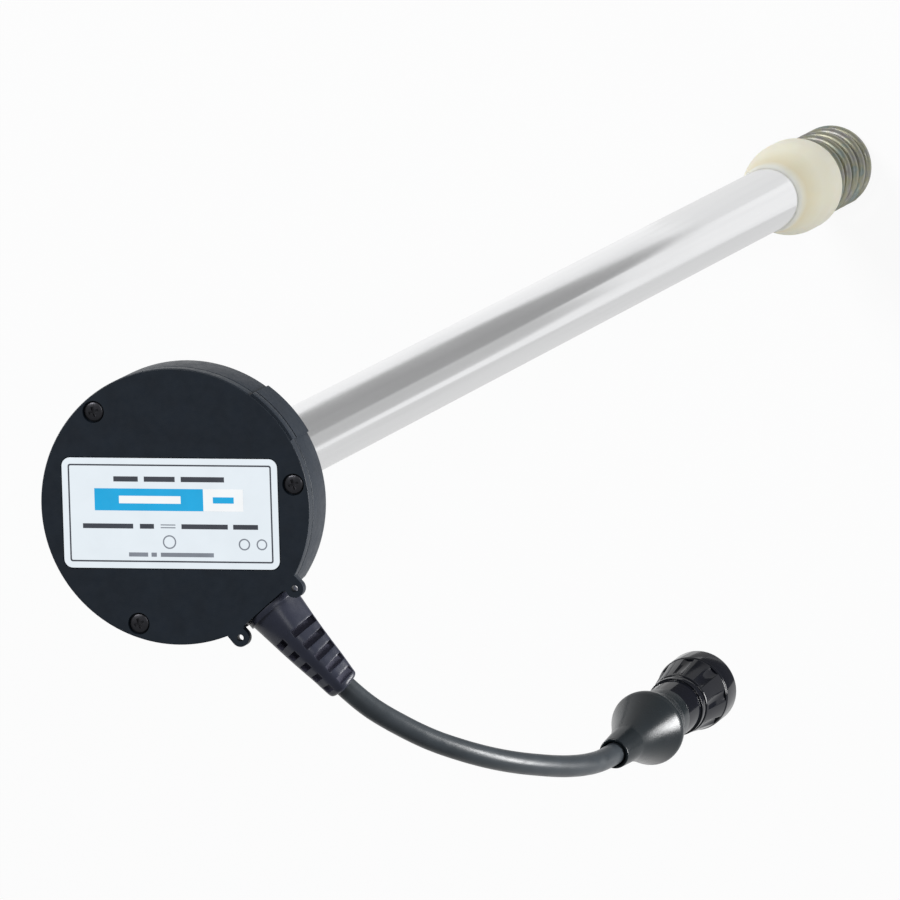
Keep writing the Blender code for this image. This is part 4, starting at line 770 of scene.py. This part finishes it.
def painted_crease_shade_share(material):
    """A share that goes from 0 at the collar's lip to 1 along its flare, with a slight cloud. It places the
    painted light and shade where the collar meets the tube.
    """
    nodes, links = tree(material)
    place = nodes.new("ShaderNodeTexCoord")
    split = nodes.new("ShaderNodeSeparateXYZ")
    links.new(place.outputs["Object"], split.inputs["Vector"])
    flare = (COLLAR_TOP, COLLAR_TOP - COLLAR_FLARE_LENGTH)
    along = spread(material, split.outputs["Z"], flare, (0, 1))
    cloud = spread(material, noise(material, 110, 4), (0, 1), (-CREASE_CLOUD, CREASE_CLOUD))
    return calculate(nodes, links, "ADD", along, cloud)


def make_nylon():
    """Natural nylon, a little clear, with a faint cloud and turning marks. Its colour along the flare is
    painted light and shade: paler at the lip, then a darker, warmer band for the shade in the crease next
    to the tube.
    """
    material = new_material("natural_nylon", (0.80, 0.74, 0.60), 0.40)
    shader = material.node_tree.nodes["Principled BSDF"]
    socket(shader, "Subsurface Weight", 0.30)
    socket(shader, "Subsurface Radius", (1.0, 0.75, 0.45))
    socket(shader, "Subsurface Scale", 0.004)
    # Painted light and shade down the flare: a pale lip, a darker warm band where the crease is shaded,
    # then cream further out.
    vary_colour(material, painted_crease_shade_share(material), (0.0, (0.90, 0.87, 0.75)), (0.35, (0.86, 0.75, 0.50)),
                (0.75, (0.90, 0.83, 0.62)), (1.0, (0.92, 0.87, 0.69)))
    vary_roughness(material, 0.34, 0.48, 300, 3)
    add_bump(material, 10e-6, 900, 2, (0.05, 0.05, 1))
    return material


def make_zinc():
    """Yellow zinc plate, with the green, grey and violet bloom of its passivation."""
    material = new_material("yellow_zinc", (0.50, 0.49, 0.36), 0.30, 1.0)
    vary_colour(material, noise(material, 150, 3, (1, 1, 1.6)), (0.28, (0.28, 0.23, 0.21)),
                (0.42, (0.33, 0.33, 0.31)), (0.52, (0.36, 0.35, 0.26)), (0.62, (0.27, 0.31, 0.28)),
                (0.74, (0.32, 0.35, 0.36)))
    vary_roughness(material, 0.42, 0.58, 420, 3)
    add_bump(material, 12e-6, 1400, 2)
    return material


def make_materials():
    materials = {look: grained(*values) for look, values in GRAINED.items()}
    materials.update(aluminium=make_aluminium(), nylon=make_nylon(), zinc=make_zinc())
    return materials


def dress_nodes(frame, materials):
    """Give every solid that stays the material of its slot."""
    for part in frame["record"]["subparts"]:
        node = frame["nodes"][part["node"]]
        node.data.materials.clear()
        node.data.materials.append(materials[part["material_slot"]])


def ear_outline(side):
    """A lobe tangent to two feet on the rim, in the exit's frame."""
    centre = Vector((EAR_REACH, EAR_SPREAD))
    feet = [Vector((-EAR_ROOT, EAR_ROOT_INNER)), Vector((-EAR_ROOT, EAR_ROOT_OUTER))]
    angles = []
    for foot, way in zip(feet, (1, -1)):
        arm = foot - centre
        bearing = math.degrees(math.atan2(arm.y, arm.x))
        angles.append(bearing + way * math.degrees(math.acos(EAR_RADIUS / arm.length)))
    lobe = arc(EAR_RADIUS, *angles, EAR_STEPS, centre)
    return [(x, side * y) for x, y in [tuple(feet[0])] + lobe + [tuple(feet[1])]]


def side_pad(name, inner, bottom, top):
    outline = sector(inner, HEAD_RADIUS + PAD_THICKNESS, PAD_START, PAD_END, PAD_STEPS)
    return prism(name, outline, bottom, top)


def make_cover(materials):
    skirt = HEAD_RADIUS - COVER_RIM
    profile = fillet([
        (0, COVER_TOP), (HEAD_RADIUS, COVER_TOP), (HEAD_RADIUS, COVER_BOTTOM),
        (skirt, COVER_BOTTOM), (skirt, COVER_UNDERSIDE), (0, COVER_UNDERSIDE),
    ])
    cover = new_piece(revolve("cover_fine", profile, HEAD_SEGMENTS), materials, "head")
    pad = side_pad("cover_pad", skirt + CLEARANCE, COVER_BOTTOM, COVER_TOP - EDGE_ROUND)
    ears = [prism(f"ear_{side}", ear_outline(side), COVER_UNDERSIDE - EXIT_HEIGHT,
                  COVER_TOP - EXIT_HEIGHT, EXIT) for side in (1, -1)]
    join(cover, pad, *ears)
    low = COVER_BOTTOM - EXIT_HEIGHT - OVERCUT
    high = COVER_TOP - EXIT_HEIGHT + OVERCUT
    chord = block("cover_chord", (0, -CHORD_HALF_WIDTH, low), (2 * HEAD_RADIUS, CHORD_HALF_WIDTH, high),
                  EXIT)
    holes = rods("ear_holes", EAR_HOLE_RADIUS, low, high,
                 [(EAR_REACH, EAR_SPREAD), (EAR_REACH, -EAR_SPREAD)], EXIT)
    pockets = rods("screw_pockets", SCREW_HEAD_RADIUS + SCREW_POCKET, COVER_TOP - SCREW_POCKET_DEPTH,
                   COVER_TOP + OVERCUT, SCREW_CENTRES, segments=SCREW_POCKET_SEGMENTS)
    length, width = LABEL_SIZE
    recess = rounded_rectangle(length + 2 * CLEARANCE, width + 2 * CLEARANCE, LABEL_CORNER + CLEARANCE,
                               LABEL_CENTRE)
    bed = prism("label_recess", recess, COVER_TOP - LABEL_SINK - CLEARANCE, COVER_TOP + OVERCUT)
    cut(cover, chord, holes, pockets, bed)
    soften(cover, HEAD_EDGE)
    shade(cover)
    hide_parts("cover")


def neck_outline(radius, top):
    """A U with its round end down, as (sideways, up) points."""
    return arc(radius, 180, 360, NECK_STEPS) + [(radius, top), (-radius, top)]


def make_housing(materials):
    groove_inner = SEAL_GROOVE_RADIUS - SEAL_GROOVE_WIDTH / 2
    groove_outer = SEAL_GROOVE_RADIUS + SEAL_GROOVE_WIDTH / 2
    inner_radius = HEAD_RADIUS - HOUSING_WALL
    profile = fillet([
        (inner_radius, HOUSING_HEIGHT), (HEAD_RADIUS, HOUSING_HEIGHT), (HEAD_RADIUS, 0),
        (groove_outer, 0), (groove_outer, SEAL_GROOVE_DEPTH), (groove_inner, SEAL_GROOVE_DEPTH),
        (groove_inner, 0), (SPIGOT_RADIUS, 0), (SPIGOT_RADIUS, -SPIGOT_LENGTH),
        (TUBE_HOLE, -SPIGOT_LENGTH), (TUBE_HOLE, HOUSING_FLOOR), (inner_radius, HOUSING_FLOOR),
    ], closed=True)
    housing = new_piece(revolve("housing_fine", profile, HEAD_SEGMENTS), materials, "head")
    pad = side_pad("housing_pad", HEAD_RADIUS - HOUSING_WALL / 2, PAD_INSET, HOUSING_HEIGHT - EDGE_ROUND)
    lug_bottom = -SPIGOT_LENGTH + LUG_INSET
    lugs = []
    for index in range(LUG_COUNT):
        start = LUG_START + 360 * index / LUG_COUNT
        outline = sector(SPIGOT_RADIUS - LUG_REACH, SPIGOT_RADIUS + LUG_REACH, start, start + LUG_ANGLE,
                         LUG_STEPS)
        lugs.append(prism(f"lug_{index}", outline, lug_bottom, lug_bottom + LUG_HEIGHT))
    join(housing, pad, *lugs)
    top = HOUSING_HEIGHT + OVERCUT - EXIT_HEIGHT
    chord = block("housing_chord", (0, -HEAD_RADIUS, -EXIT_HEIGHT - OVERCUT),
                  (HEAD_RADIUS, HEAD_RADIUS, top), EXIT)
    inner_face = CHORD_DEPTH - HOUSING_WALL
    half = BOOT_GRIP_HALF_WIDTH + CLEARANCE
    pocket = block("grip_pocket", (inner_face - HOUSING_WALL, -half, HOUSING_FLOOR - EXIT_HEIGHT),
                   (inner_face, half, top), EXIT)
    slot = prism("neck_slot", neck_outline(BOOT_NECK_RADIUS + CLEARANCE, top), inner_face - OVERCUT,
                 OVERCUT, EXIT @ OUTWARD)
    cut(housing, chord, pocket, slot)
    soften(housing, HEAD_EDGE)
    shade(housing)
    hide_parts("housing")


def make_screws(materials):
    seat = COVER_TOP - SCREW_POCKET_DEPTH + CLEARANCE
    edge = seat + SCREW_HEAD_HEIGHT - SCREW_DOME
    dome = arc(1, 90, 0, SCREW_DOME_STEPS)
    profile = [(SCREW_HEAD_RADIUS * x, edge + SCREW_DOME * y) for x, y in dome]
    profile += [
        (SCREW_HEAD_RADIUS, seat), (SCREW_RADIUS, seat), (SCREW_RADIUS, seat - SCREW_LENGTH),
        (0, seat - SCREW_LENGTH),
    ]
    half = Vector((CROSS_LENGTH / 2, CROSS_WIDTH / 2, CROSS_DEPTH))
    for index, (x, y) in enumerate(SCREW_CENTRES, 1):
        place = Matrix.Translation((x, y, 0))
        mesh = revolve(f"cover_screw_fine_{index}", profile, SMALL_SEGMENTS, place)
        screw = new_piece(mesh, materials, "dark_steel")
        top = Matrix.Translation((x, y, edge + SCREW_DOME))
        cut(screw, *[block(f"cross_{arm}", -half, half, top @ z_turn(CROSS_TURN + arm)) for arm in (0, 90)])
        soften(screw, SCREW_EDGE)
        shade(screw)
        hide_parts(f"cover_screw_{index}")


def field(left, bottom, right, top):
    """The outline of a printed field given in millimetres."""
    corners = ((left, bottom), (right, bottom), (right, top), (left, top))
    return [(x / MM, y / MM) for x, y in corners]


def line_frame(name, outlines, materials, look, level):
    """A printed line between two outlines of as many points."""
    shape = bmesh.new()
    height = level + PRINT_THICKNESS
    bridge(shape, *[[shape.verts.new((x, y, height)) for x, y in outline] for outline in outlines])
    new_piece(plain_mesh(name, shape), materials, look)


def make_label(materials):
    length, width = LABEL_SIZE
    bottom = COVER_TOP - LABEL_SINK
    top = bottom + LABEL_THICKNESS
    outline = rounded_rectangle(length, width, LABEL_CORNER, LABEL_CENTRE)
    film = new_piece(prism("label_film", outline, bottom, top), materials, "label")
    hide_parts("label")
    frames = []
    for inset in (LABEL_LINE_INSET, LABEL_LINE_INSET + LABEL_LINE_WIDTH):
        corner = max(LABEL_CORNER - inset, LABEL_LINE_CORNER)
        frames.append(rounded_rectangle(length - 2 * inset, width - 2 * inset, corner, LABEL_CENTRE))
    line_frame("label_line", frames, materials, "ink", top)
    for name, (look, layers, fields) in PRINTED.items():
        mesh = flat_mesh(name, [field(*corners) for corners in fields], top + layers * PRINT_THICKNESS)
        new_piece(mesh, materials, look)
    for index, (x, y, radius) in enumerate(ROUND_MARKS, 1):
        outer = radius / MM
        rings = [[(x / MM + a, y / MM + b) for a, b in ring_of(SMALL_SEGMENTS, reach)]
                 for reach in (outer, outer - ROUND_MARK_LINE)]
        line_frame(f"label_mark_{index}", rings, materials, "grey_ink", top)


def make_tube(materials):
    bore = TUBE_RADIUS - TUBE_WALL
    heights = [TUBE_TOP + (TUBE_BOTTOM - TUBE_TOP) * step / TUBE_RINGS for step in range(TUBE_RINGS + 1)]
    profile = [(bore, TUBE_TOP)] + [(TUBE_RADIUS, height) for height in heights] + [(bore, TUBE_BOTTOM)]
    tube = new_piece(revolve("outer_tube_fine", profile), materials, "aluminium")
    vent = prism("vent", [(x, y - VENT_DEPTH) for x, y in ring_of(SMALL_SEGMENTS, VENT_RADIUS)],
                 0, 2 * TUBE_RADIUS, z_turn(VENT_AZIMUTH) @ OUTWARD)
    cut(tube, vent)
    shade(tube)
    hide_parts("outer_tube")


def make_collar(materials):
    hole = TUBE_RADIUS + COLLAR_FIT
    lip = (TUBE_HOLE + COLLAR_LIP_WALL, COLLAR_TOP)
    waist = (COLLAR_FLARE_RADIUS, COLLAR_TOP - COLLAR_FLARE_LENGTH)
    crown = (COLLAR_RADIUS, waist[1] - COLLAR_CROWN_LENGTH)
    outer = [(hole, COLLAR_TOP)]
    outer += eased(lip, waist, COLLAR_FLARE_STEPS, lambda share: share ** COLLAR_FLARE_POWER)
    outer += eased(waist, crown, COLLAR_CROWN_STEPS, lambda share: math.sin(math.pi / 2 * share))
    boss = SPRING_MEAN_RADIUS - SPRING_WIRE / 2 - CLEARANCE
    boss_end = COLLAR_FACE - COLLAR_BOSS_LENGTH
    shoulder = TUBE_BOTTOM - CLEARANCE
    foot = fillet([
        outer[-1], (COLLAR_RADIUS, COLLAR_FACE), (boss, COLLAR_FACE), (boss, boss_end),
        (COLLAR_HOLE_RADIUS, boss_end), (COLLAR_HOLE_RADIUS, shoulder), (hole, shoulder),
        (hole, COLLAR_TOP),
    ], COLLAR_ROUND)
    collar = new_piece(revolve("stop_collar_fine", outer[:-1] + foot[:-1]), materials, "nylon")
    shade(collar)
    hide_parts("stop_collar")


def make_spring(materials):
    """One wire for the whole spring."""
    open_turns = SPRING_TOP_TURNS + SPRING_BODY_TURNS
    turns = open_turns + SPRING_END_TURNS
    count = round(turns * SPRING_STEPS_PER_TURN)
    top = COLLAR_FACE - CLEARANCE - SPRING_WIRE / 2
    height = top
    points = []
    for step in range(count + 1):
        done = turns * step / count
        x, y = polar(SPRING_MEAN_RADIUS, SPRING_START + 360 * done)
        points.append((x, y, height))
        closed = done < SPRING_TOP_TURNS or done >= open_turns
        height -= (SPRING_CLOSED_PITCH if closed else SPRING_PITCH) * turns / count
    ground = points[-1][2] - SPRING_WIRE / 2 + SPRING_GRIND
    mesh = sweep("spring_fine", points, SPRING_WIRE / 2, SPRING_SIDES)
    for vertex in mesh.vertices:
        vertex.co.z = max(vertex.co.z, ground)
    spring = add_object(mesh.name, mesh)
    spring.data.materials.append(materials["zinc"])
    shade(spring)
    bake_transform(spring)
    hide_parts("bottom_spring", "spring_end")


def boot_radius(distance):
    """Corner radius of the strain relief at a distance from the wall."""
    if distance < BOOT_SOLID_LENGTH:
        share = max(0, distance - BOOT_FLANGE_THICKNESS) / (BOOT_SOLID_LENGTH - BOOT_FLANGE_THICKNESS)
        return BOOT_ROOT_RADIUS + (BOOT_SHOULDER_RADIUS - BOOT_ROOT_RADIUS) * share
    share = (distance - BOOT_SOLID_LENGTH) / (BOOT_LENGTH - BOOT_SOLID_LENGTH)
    return BOOT_SHOULDER_RADIUS + (BOOT_TIP_RADIUS - BOOT_SHOULDER_RADIUS) * share


def boot_squareness(distance):
    return BOOT_SQUARENESS * min(1, distance / BOOT_SOLID_LENGTH)


def boot_place(route, distance):
    """Centre, forward, sideways and up directions of the strain relief at a distance."""
    start = -CABLE_ROUTE[0][0]
    centre = point_along(route, start + distance)
    ahead = point_along(route, start + distance + SLOT_WIDTH)
    behind = point_along(route, start + distance - SLOT_WIDTH)
    forward = (ahead - behind).normalized()
    sideways = Vector((0, 0, 1)).cross(forward).normalized()
    return centre, forward, sideways, forward.cross(sideways)


def boot_rings(route):
    """Round at its root and rounded square along its slots, with a soft tip."""
    first = BOOT_FLANGE_THICKNESS / 2
    start = BOOT_LENGTH - BOOT_TIP_ROUND
    stations = [first + (start - first) * step / BOOT_STATIONS for step in range(BOOT_STATIONS)]
    stations += [start + BOOT_TIP_ROUND * math.sin(math.pi / 2 * step / TIP_STEPS)
                 for step in range(TIP_STEPS + 1)]
    rings = []
    for distance in stations:
        centre, _, sideways, up = boot_place(route, distance)
        past = max(0, 1 - (BOOT_LENGTH - distance) / BOOT_TIP_ROUND)
        tip = BOOT_TIP_ROUND * (1 - math.sqrt(1 - past ** 2))
        ring = []
        for step in range(BOOT_POINTS):
            angle = 360 * step / BOOT_POINTS
            swing = 1 - math.cos(math.radians(BOOT_CORNERS * (angle - BOOT_CORNER_ANGLE)))
            radius = boot_radius(distance) * (1 - boot_squareness(distance) * swing / 2) - tip
            x, y = polar(radius, angle)
            ring.append(centre + sideways * x + up * y)
        rings.append(ring)
    return rings


def slot_tools(route, label, face_angle, share, wall):
    """Cutters down both sides of the strain relief, across a share of its width less its side walls."""
    tools = []
    depth = 2 * BOOT_ROOT_RADIUS - SLOT_FLOOR
    for index in range(SLOT_COUNT):
        distance = SLOT_FIRST + SLOT_PITCH * index
        centre, forward, sideways, up = boot_place(route, distance)
        x, y = polar(1, face_angle)
        normal = sideways * x + up * y
        turn = Matrix((forward, normal, forward.cross(normal))).transposed().to_4x4()
        width = 2 * (boot_radius(distance) * (1 - boot_squareness(distance)) * share - wall)
        half = Vector((SLOT_WIDTH, depth, width)) / 2
        for side in (1, -1):
            middle = centre + normal * side * (SLOT_FLOOR + depth / 2)
            place = EXIT @ Matrix.Translation(middle) @ turn
            tools.append(block(f"{label}_{index}_{side}", -half, half, place))
    return tools


def make_boot(materials):
    route = smooth_route(CABLE_ROUTE, BOOT_SPACING)
    boot = new_piece(loft("cable_boot_fine", boot_rings(route), EXIT), materials, "boot_rubber")
    flange = prism("boot_flange", ring_of(ROUND_SEGMENTS, BOOT_FLANGE_RADIUS), CLEARANCE,
                   CLEARANCE + BOOT_FLANGE_THICKNESS, EXIT @ OUTWARD)
    top = HOUSING_HEIGHT - EXIT_HEIGHT
    grip_face = CHORD_DEPTH - HOUSING_WALL - CLEARANCE
    neck = prism("boot_neck", neck_outline(BOOT_NECK_RADIUS, top), grip_face - BOOT_GRIP_THICKNESS / 2,
                 CLEARANCE + BOOT_FLANGE_THICKNESS / 2, EXIT @ OUTWARD)
    join(boot, flange, neck)
    bore = sweep("boot_bore", smooth_route(CABLE_ROUTE, BORE_SPACING), CABLE_RADIUS + CABLE_BORE_GAP,
                 CABLE_SIDES, EXIT)
    slots = slot_tools(route, "slot", BOOT_FACE_ANGLE, 1, SLOT_SIDE_WALL)
    slots += slot_tools(route, "window", BOOT_SIDE_ANGLE, SLOT_WINDOW_SHARE, 0)
    cut(boot, bore)
    # The slots' inner faces take the slot_shade rubber: painted shade inside the slots.
    for mesh in [boot.data] + slots:
        mesh.materials.append(materials["slot_shade"])
    cut(boot, *slots)
    soften(boot, BOOT_EDGE)
    shade(boot)
    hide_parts("cable_boot")


def make_cable(materials):
    route = [EXIT @ point for point in smooth_route(CABLE_ROUTE, CABLE_SPACING)]
    cable = new_piece(sweep("cable_fine", route, CABLE_RADIUS, CABLE_SIDES), materials, "cable_jacket")
    shade(cable)
    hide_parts("cable")
    return cable, route


def plug_piece(name, profile, materials, look, body="sender"):
    """A turned piece of the plug, from a profile of (radius, distance from the lip)."""
    mesh = revolve(name, [(radius, -distance) for radius, distance in profile], matrix=PLUG)
    return new_piece(mesh, materials, look, body)


def make_sleeve(materials):
    neck = (SLEEVE_NECK_RADIUS, SLEEVE_NECK_LENGTH)
    widest = (SLEEVE_RADIUS, SLEEVE_WIDEST)
    narrowed = (SLEEVE_TAIL_RADIUS, SLEEVE_TAIL_START)
    bulb = eased(neck, widest, SLEEVE_STEPS, lambda share: share ** SLEEVE_SWELL_POWER)
    bulb += eased(widest, narrowed, SLEEVE_STEPS, lambda share: (1 - math.cos(math.pi * share)) / 2)
    bore = CABLE_RADIUS + CABLE_BORE_GAP
    hollow = SHELL_TAIL_RADIUS + CLEARANCE
    lip = fillet([(bore, SLEEVE_BORE_DEPTH), (bore, 0), (SLEEVE_LIP_RADIUS, 0), neck], SLEEVE_LIP_ROUND)
    tail = fillet([bulb[-1], (SLEEVE_TAIL_RADIUS, SLEEVE_LENGTH), (hollow, SLEEVE_LENGTH),
                   (hollow, SHELL_TAIL_START - CLEARANCE), (bore, SLEEVE_BORE_DEPTH)])
    profile = lip[:-1] + bulb[:-1] + tail[:-1]
    sleeve = plug_piece("plug_sleeve_fine", profile, materials, "sleeve")
    shade(sleeve)
    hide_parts("connector_boot")
    return sleeve


def make_shell(materials):
    start = SLEEVE_LENGTH + CLEARANCE
    flange_end = SHELL_FLANGE_START + SHELL_FLANGE_LENGTH
    barrel = SHELL_BARREL_RADIUS
    ridge = RING_START + RING_SHOULDER_LENGTH + CLEARANCE
    ridge_end = ridge + SHELL_RIDGE_LENGTH
    groove = barrel - SEAL_GROOVE_SINK
    groove_start = SEAL_PLACE - SEAL_GROOVE_HALF
    groove_end = SEAL_PLACE + SEAL_GROOVE_HALF
    tail_bore = SHELL_TAIL_RADIUS - SHELL_WALL
    barrel_bore = barrel - SHELL_BARREL_WALL
    profile = fillet([
        (tail_bore, SHELL_TAIL_START), (SHELL_TAIL_RADIUS, SHELL_TAIL_START),
        (SHELL_TAIL_RADIUS, start), (SHELL_RADIUS, start), (SHELL_RADIUS, SHELL_FLANGE_START),
        (SHELL_FLANGE_RADIUS, SHELL_FLANGE_START), (SHELL_FLANGE_RADIUS, flange_end),
        (barrel, flange_end), (barrel, ridge), (SHELL_RIDGE_RADIUS, ridge),
        (SHELL_RIDGE_RADIUS, ridge_end), (barrel, ridge_end), (barrel, groove_start),
        (groove, groove_start), (groove, groove_end), (barrel, groove_end), (barrel, SHELL_LENGTH),
        (barrel_bore, SHELL_LENGTH), (barrel_bore, INSERT_SEAT), (tail_bore, INSERT_SEAT),
    ], SHELL_ROUND, closed=True)
    shell = plug_piece("plug_shell_fine", profile, materials, "plug")
    shade(shell)
    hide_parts("connector_shell")
    return shell


def make_ring(materials):
    end = RING_START + RING_LENGTH
    collar = end - RING_COLLAR_LENGTH
    shoulder_end = RING_START + RING_SHOULDER_LENGTH
    mouth = end - RING_MOUTH_LENGTH
    shoulder_bore = SHELL_BARREL_RADIUS + CLEARANCE
    profile = fillet([
        (shoulder_bore, RING_START), (RING_START_RADIUS, RING_START), (RING_RADIUS, collar),
        (RING_COLLAR_RADIUS, collar + EDGE_ROUND), (RING_COLLAR_RADIUS, end),
        (RING_MOUTH_RADIUS, end), (RING_MOUTH_RADIUS, mouth), (RING_BORE_RADIUS, mouth),
        (RING_BORE_RADIUS, shoulder_end), (shoulder_bore, shoulder_end),
    ], RING_ROUND, closed=True)
    ring = plug_piece("coupling_ring_fine", profile, materials, "plug", "plug_ring")
    flute_length = collar - RING_START
    lean = math.atan2(RING_RADIUS - RING_START_RADIUS, flute_length)
    middle = (RING_START_RADIUS + RING_RADIUS) / 2 + RING_FLUTE_RADIUS - RING_FLUTE_DEPTH
    flutes = bmesh.new()
    for index in range(RING_FLUTES):
        place = (z_turn(360 * index / RING_FLUTES)
                 @ Matrix.Translation((middle, 0, -(RING_START + collar) / 2))
                 @ Matrix.Rotation(-lean, 4, "Y"))
        add_rod(flutes, RING_FLUTE_RADIUS, flute_length - RING_FLUTE_MARGIN, place)
    cut(ring, new_mesh("flutes", flutes, PLUG))
    soften(ring, RING_EDGE)
    shade(ring)
    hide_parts("coupling_ring")
    return ring


def bare_material(name, piece):
    """The nodes and links of a new, empty material on the piece."""
    material = bpy.data.materials.new(name)
    material.use_nodes = True
    material.node_tree.nodes.clear()
    piece.data.materials.append(material)
    return tree(material)


def lit(nodes, kind, colour, strength):
    """The output of an emission or background node."""
    return new_node(nodes, kind, Color=(*colour, 1.0), Strength=strength).outputs[0]


def mix_surface(nodes, links, factor, plain, seen, output):
    """The plain shader, and the seen one where the factor is 1."""
    mix = nodes.new("ShaderNodeMixShader")
    links.new(factor, mix.inputs["Fac"])
    links.new(plain, mix.inputs[1])
    links.new(seen, mix.inputs[2])
    links.new(mix.outputs["Shader"], nodes.new(output).inputs["Surface"])


def seen_share(nodes, links, share):
    """The share for rays from the camera, gloss and clear pieces, and 0 for the rest."""
    path = nodes.new("ShaderNodeLightPath")
    seen = path.outputs["Is Camera Ray"]
    for ray in ("Is Glossy Ray", "Is Transmission Ray"):
        seen = calculate(nodes, links, "MAXIMUM", seen, path.outputs[ray])
    part = nodes.new("ShaderNodeMath")
    part.operation = "MULTIPLY"
    part.inputs[1].default_value = share
    links.new(seen, part.inputs[0])
    return part.outputs["Value"]


def make_stage():
    """A wide pale floor under the foot, which the camera and gloss see as white."""
    shape = bmesh.new()
    bmesh.ops.create_circle(shape, cap_ends=True, segments=ROUND_SEGMENTS, radius=FLOOR_RADIUS,
                            matrix=Matrix.Translation((0, 0, FLOOR_HEIGHT)))
    floor = add_object("floor", plain_mesh("floor", shape))
    nodes, links = bare_material("pale_floor", floor)
    matt = new_node(nodes, "ShaderNodeBsdfDiffuse", Color=(*FLOOR_COLOUR, 1.0))
    glow = lit(nodes, "ShaderNodeEmission", WHITE, 1.0)
    mix_surface(nodes, links, seen_share(nodes, links, FLOOR_WHITE_SHARE), matt.outputs["BSDF"], glow,
                "ShaderNodeOutputMaterial")


def make_cards():
    """Grey glowing cards on the floor that only gloss sees, as painted reflections: they give the tube its
    grey bands and the plug its dark reflections.
    """
    for name, (grey, outline) in CARDS.items():
        card = add_object(name, flat_mesh(name, [outline], FLOOR_HEIGHT + CARD_LIFT))
        nodes, links = bare_material(name, card)
        # Painted reflection: the card glows grey, and only gloss sees it.
        glow = lit(nodes, "ShaderNodeEmission", (grey, grey, grey), 1.0)
        links.new(glow, nodes.new("ShaderNodeOutputMaterial").inputs["Surface"])
        card.visible_camera = card.visible_diffuse = False
        card.visible_transmission = card.visible_shadow = False


def make_world():
    """Soft light from all round, seen as plain white by the camera."""
    world = bpy.data.worlds.new("studio")
    bpy.context.scene.world = world
    world.use_nodes = True
    nodes, links = tree(world)
    nodes.clear()
    soft = lit(nodes, "ShaderNodeBackground", WORLD_COLOUR, WORLD_STRENGTH)
    white = lit(nodes, "ShaderNodeBackground", WHITE, 1.0)
    path = nodes.new("ShaderNodeLightPath")
    mix_surface(nodes, links, path.outputs["Is Camera Ray"], soft, white, "ShaderNodeOutputWorld")


def make_lights():
    for name, (place, aim, size, power, beam) in LIGHTS.items():
        data = bpy.data.lights.new(name, "AREA")
        data.shape = "RECTANGLE"
        data.size, data.size_y = size
        data.energy = power
        data.spread = math.radians(beam)
        light = add_object(name, data)
        light.location = place
        light.rotation_euler = (Vector(aim) - Vector(place)).to_track_quat("-Z", "Y").to_euler()


def make_camera():
    data = bpy.data.cameras.new("camera")
    data.lens = CAMERA_LENS
    data.sensor_width = CAMERA_SENSOR
    data.clip_start, data.clip_end = CAMERA_CLIP
    camera = add_object("camera", data)
    turn = Matrix((CAMERA_RIGHT, CAMERA_UP, CAMERA_BACK)).transposed().to_4x4()
    camera.matrix_world = Matrix.Translation(CAMERA_PLACE) @ turn
    bpy.context.scene.camera = camera


def main():
    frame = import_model()
    bpy.context.scene.view_settings.view_transform = "Standard"
    materials = make_materials()
    dress_nodes(frame, materials)
    make_camera()
    make_world()
    make_lights()
    make_stage()
    make_cards()
    for make in (make_cover, make_housing, make_screws, make_label, make_tube, make_collar, make_spring,
                 make_boot):
        make(materials)
    cable, route = make_cable(materials)
    plug = [make_sleeve(materials), make_shell(materials), make_ring(materials)]


main()
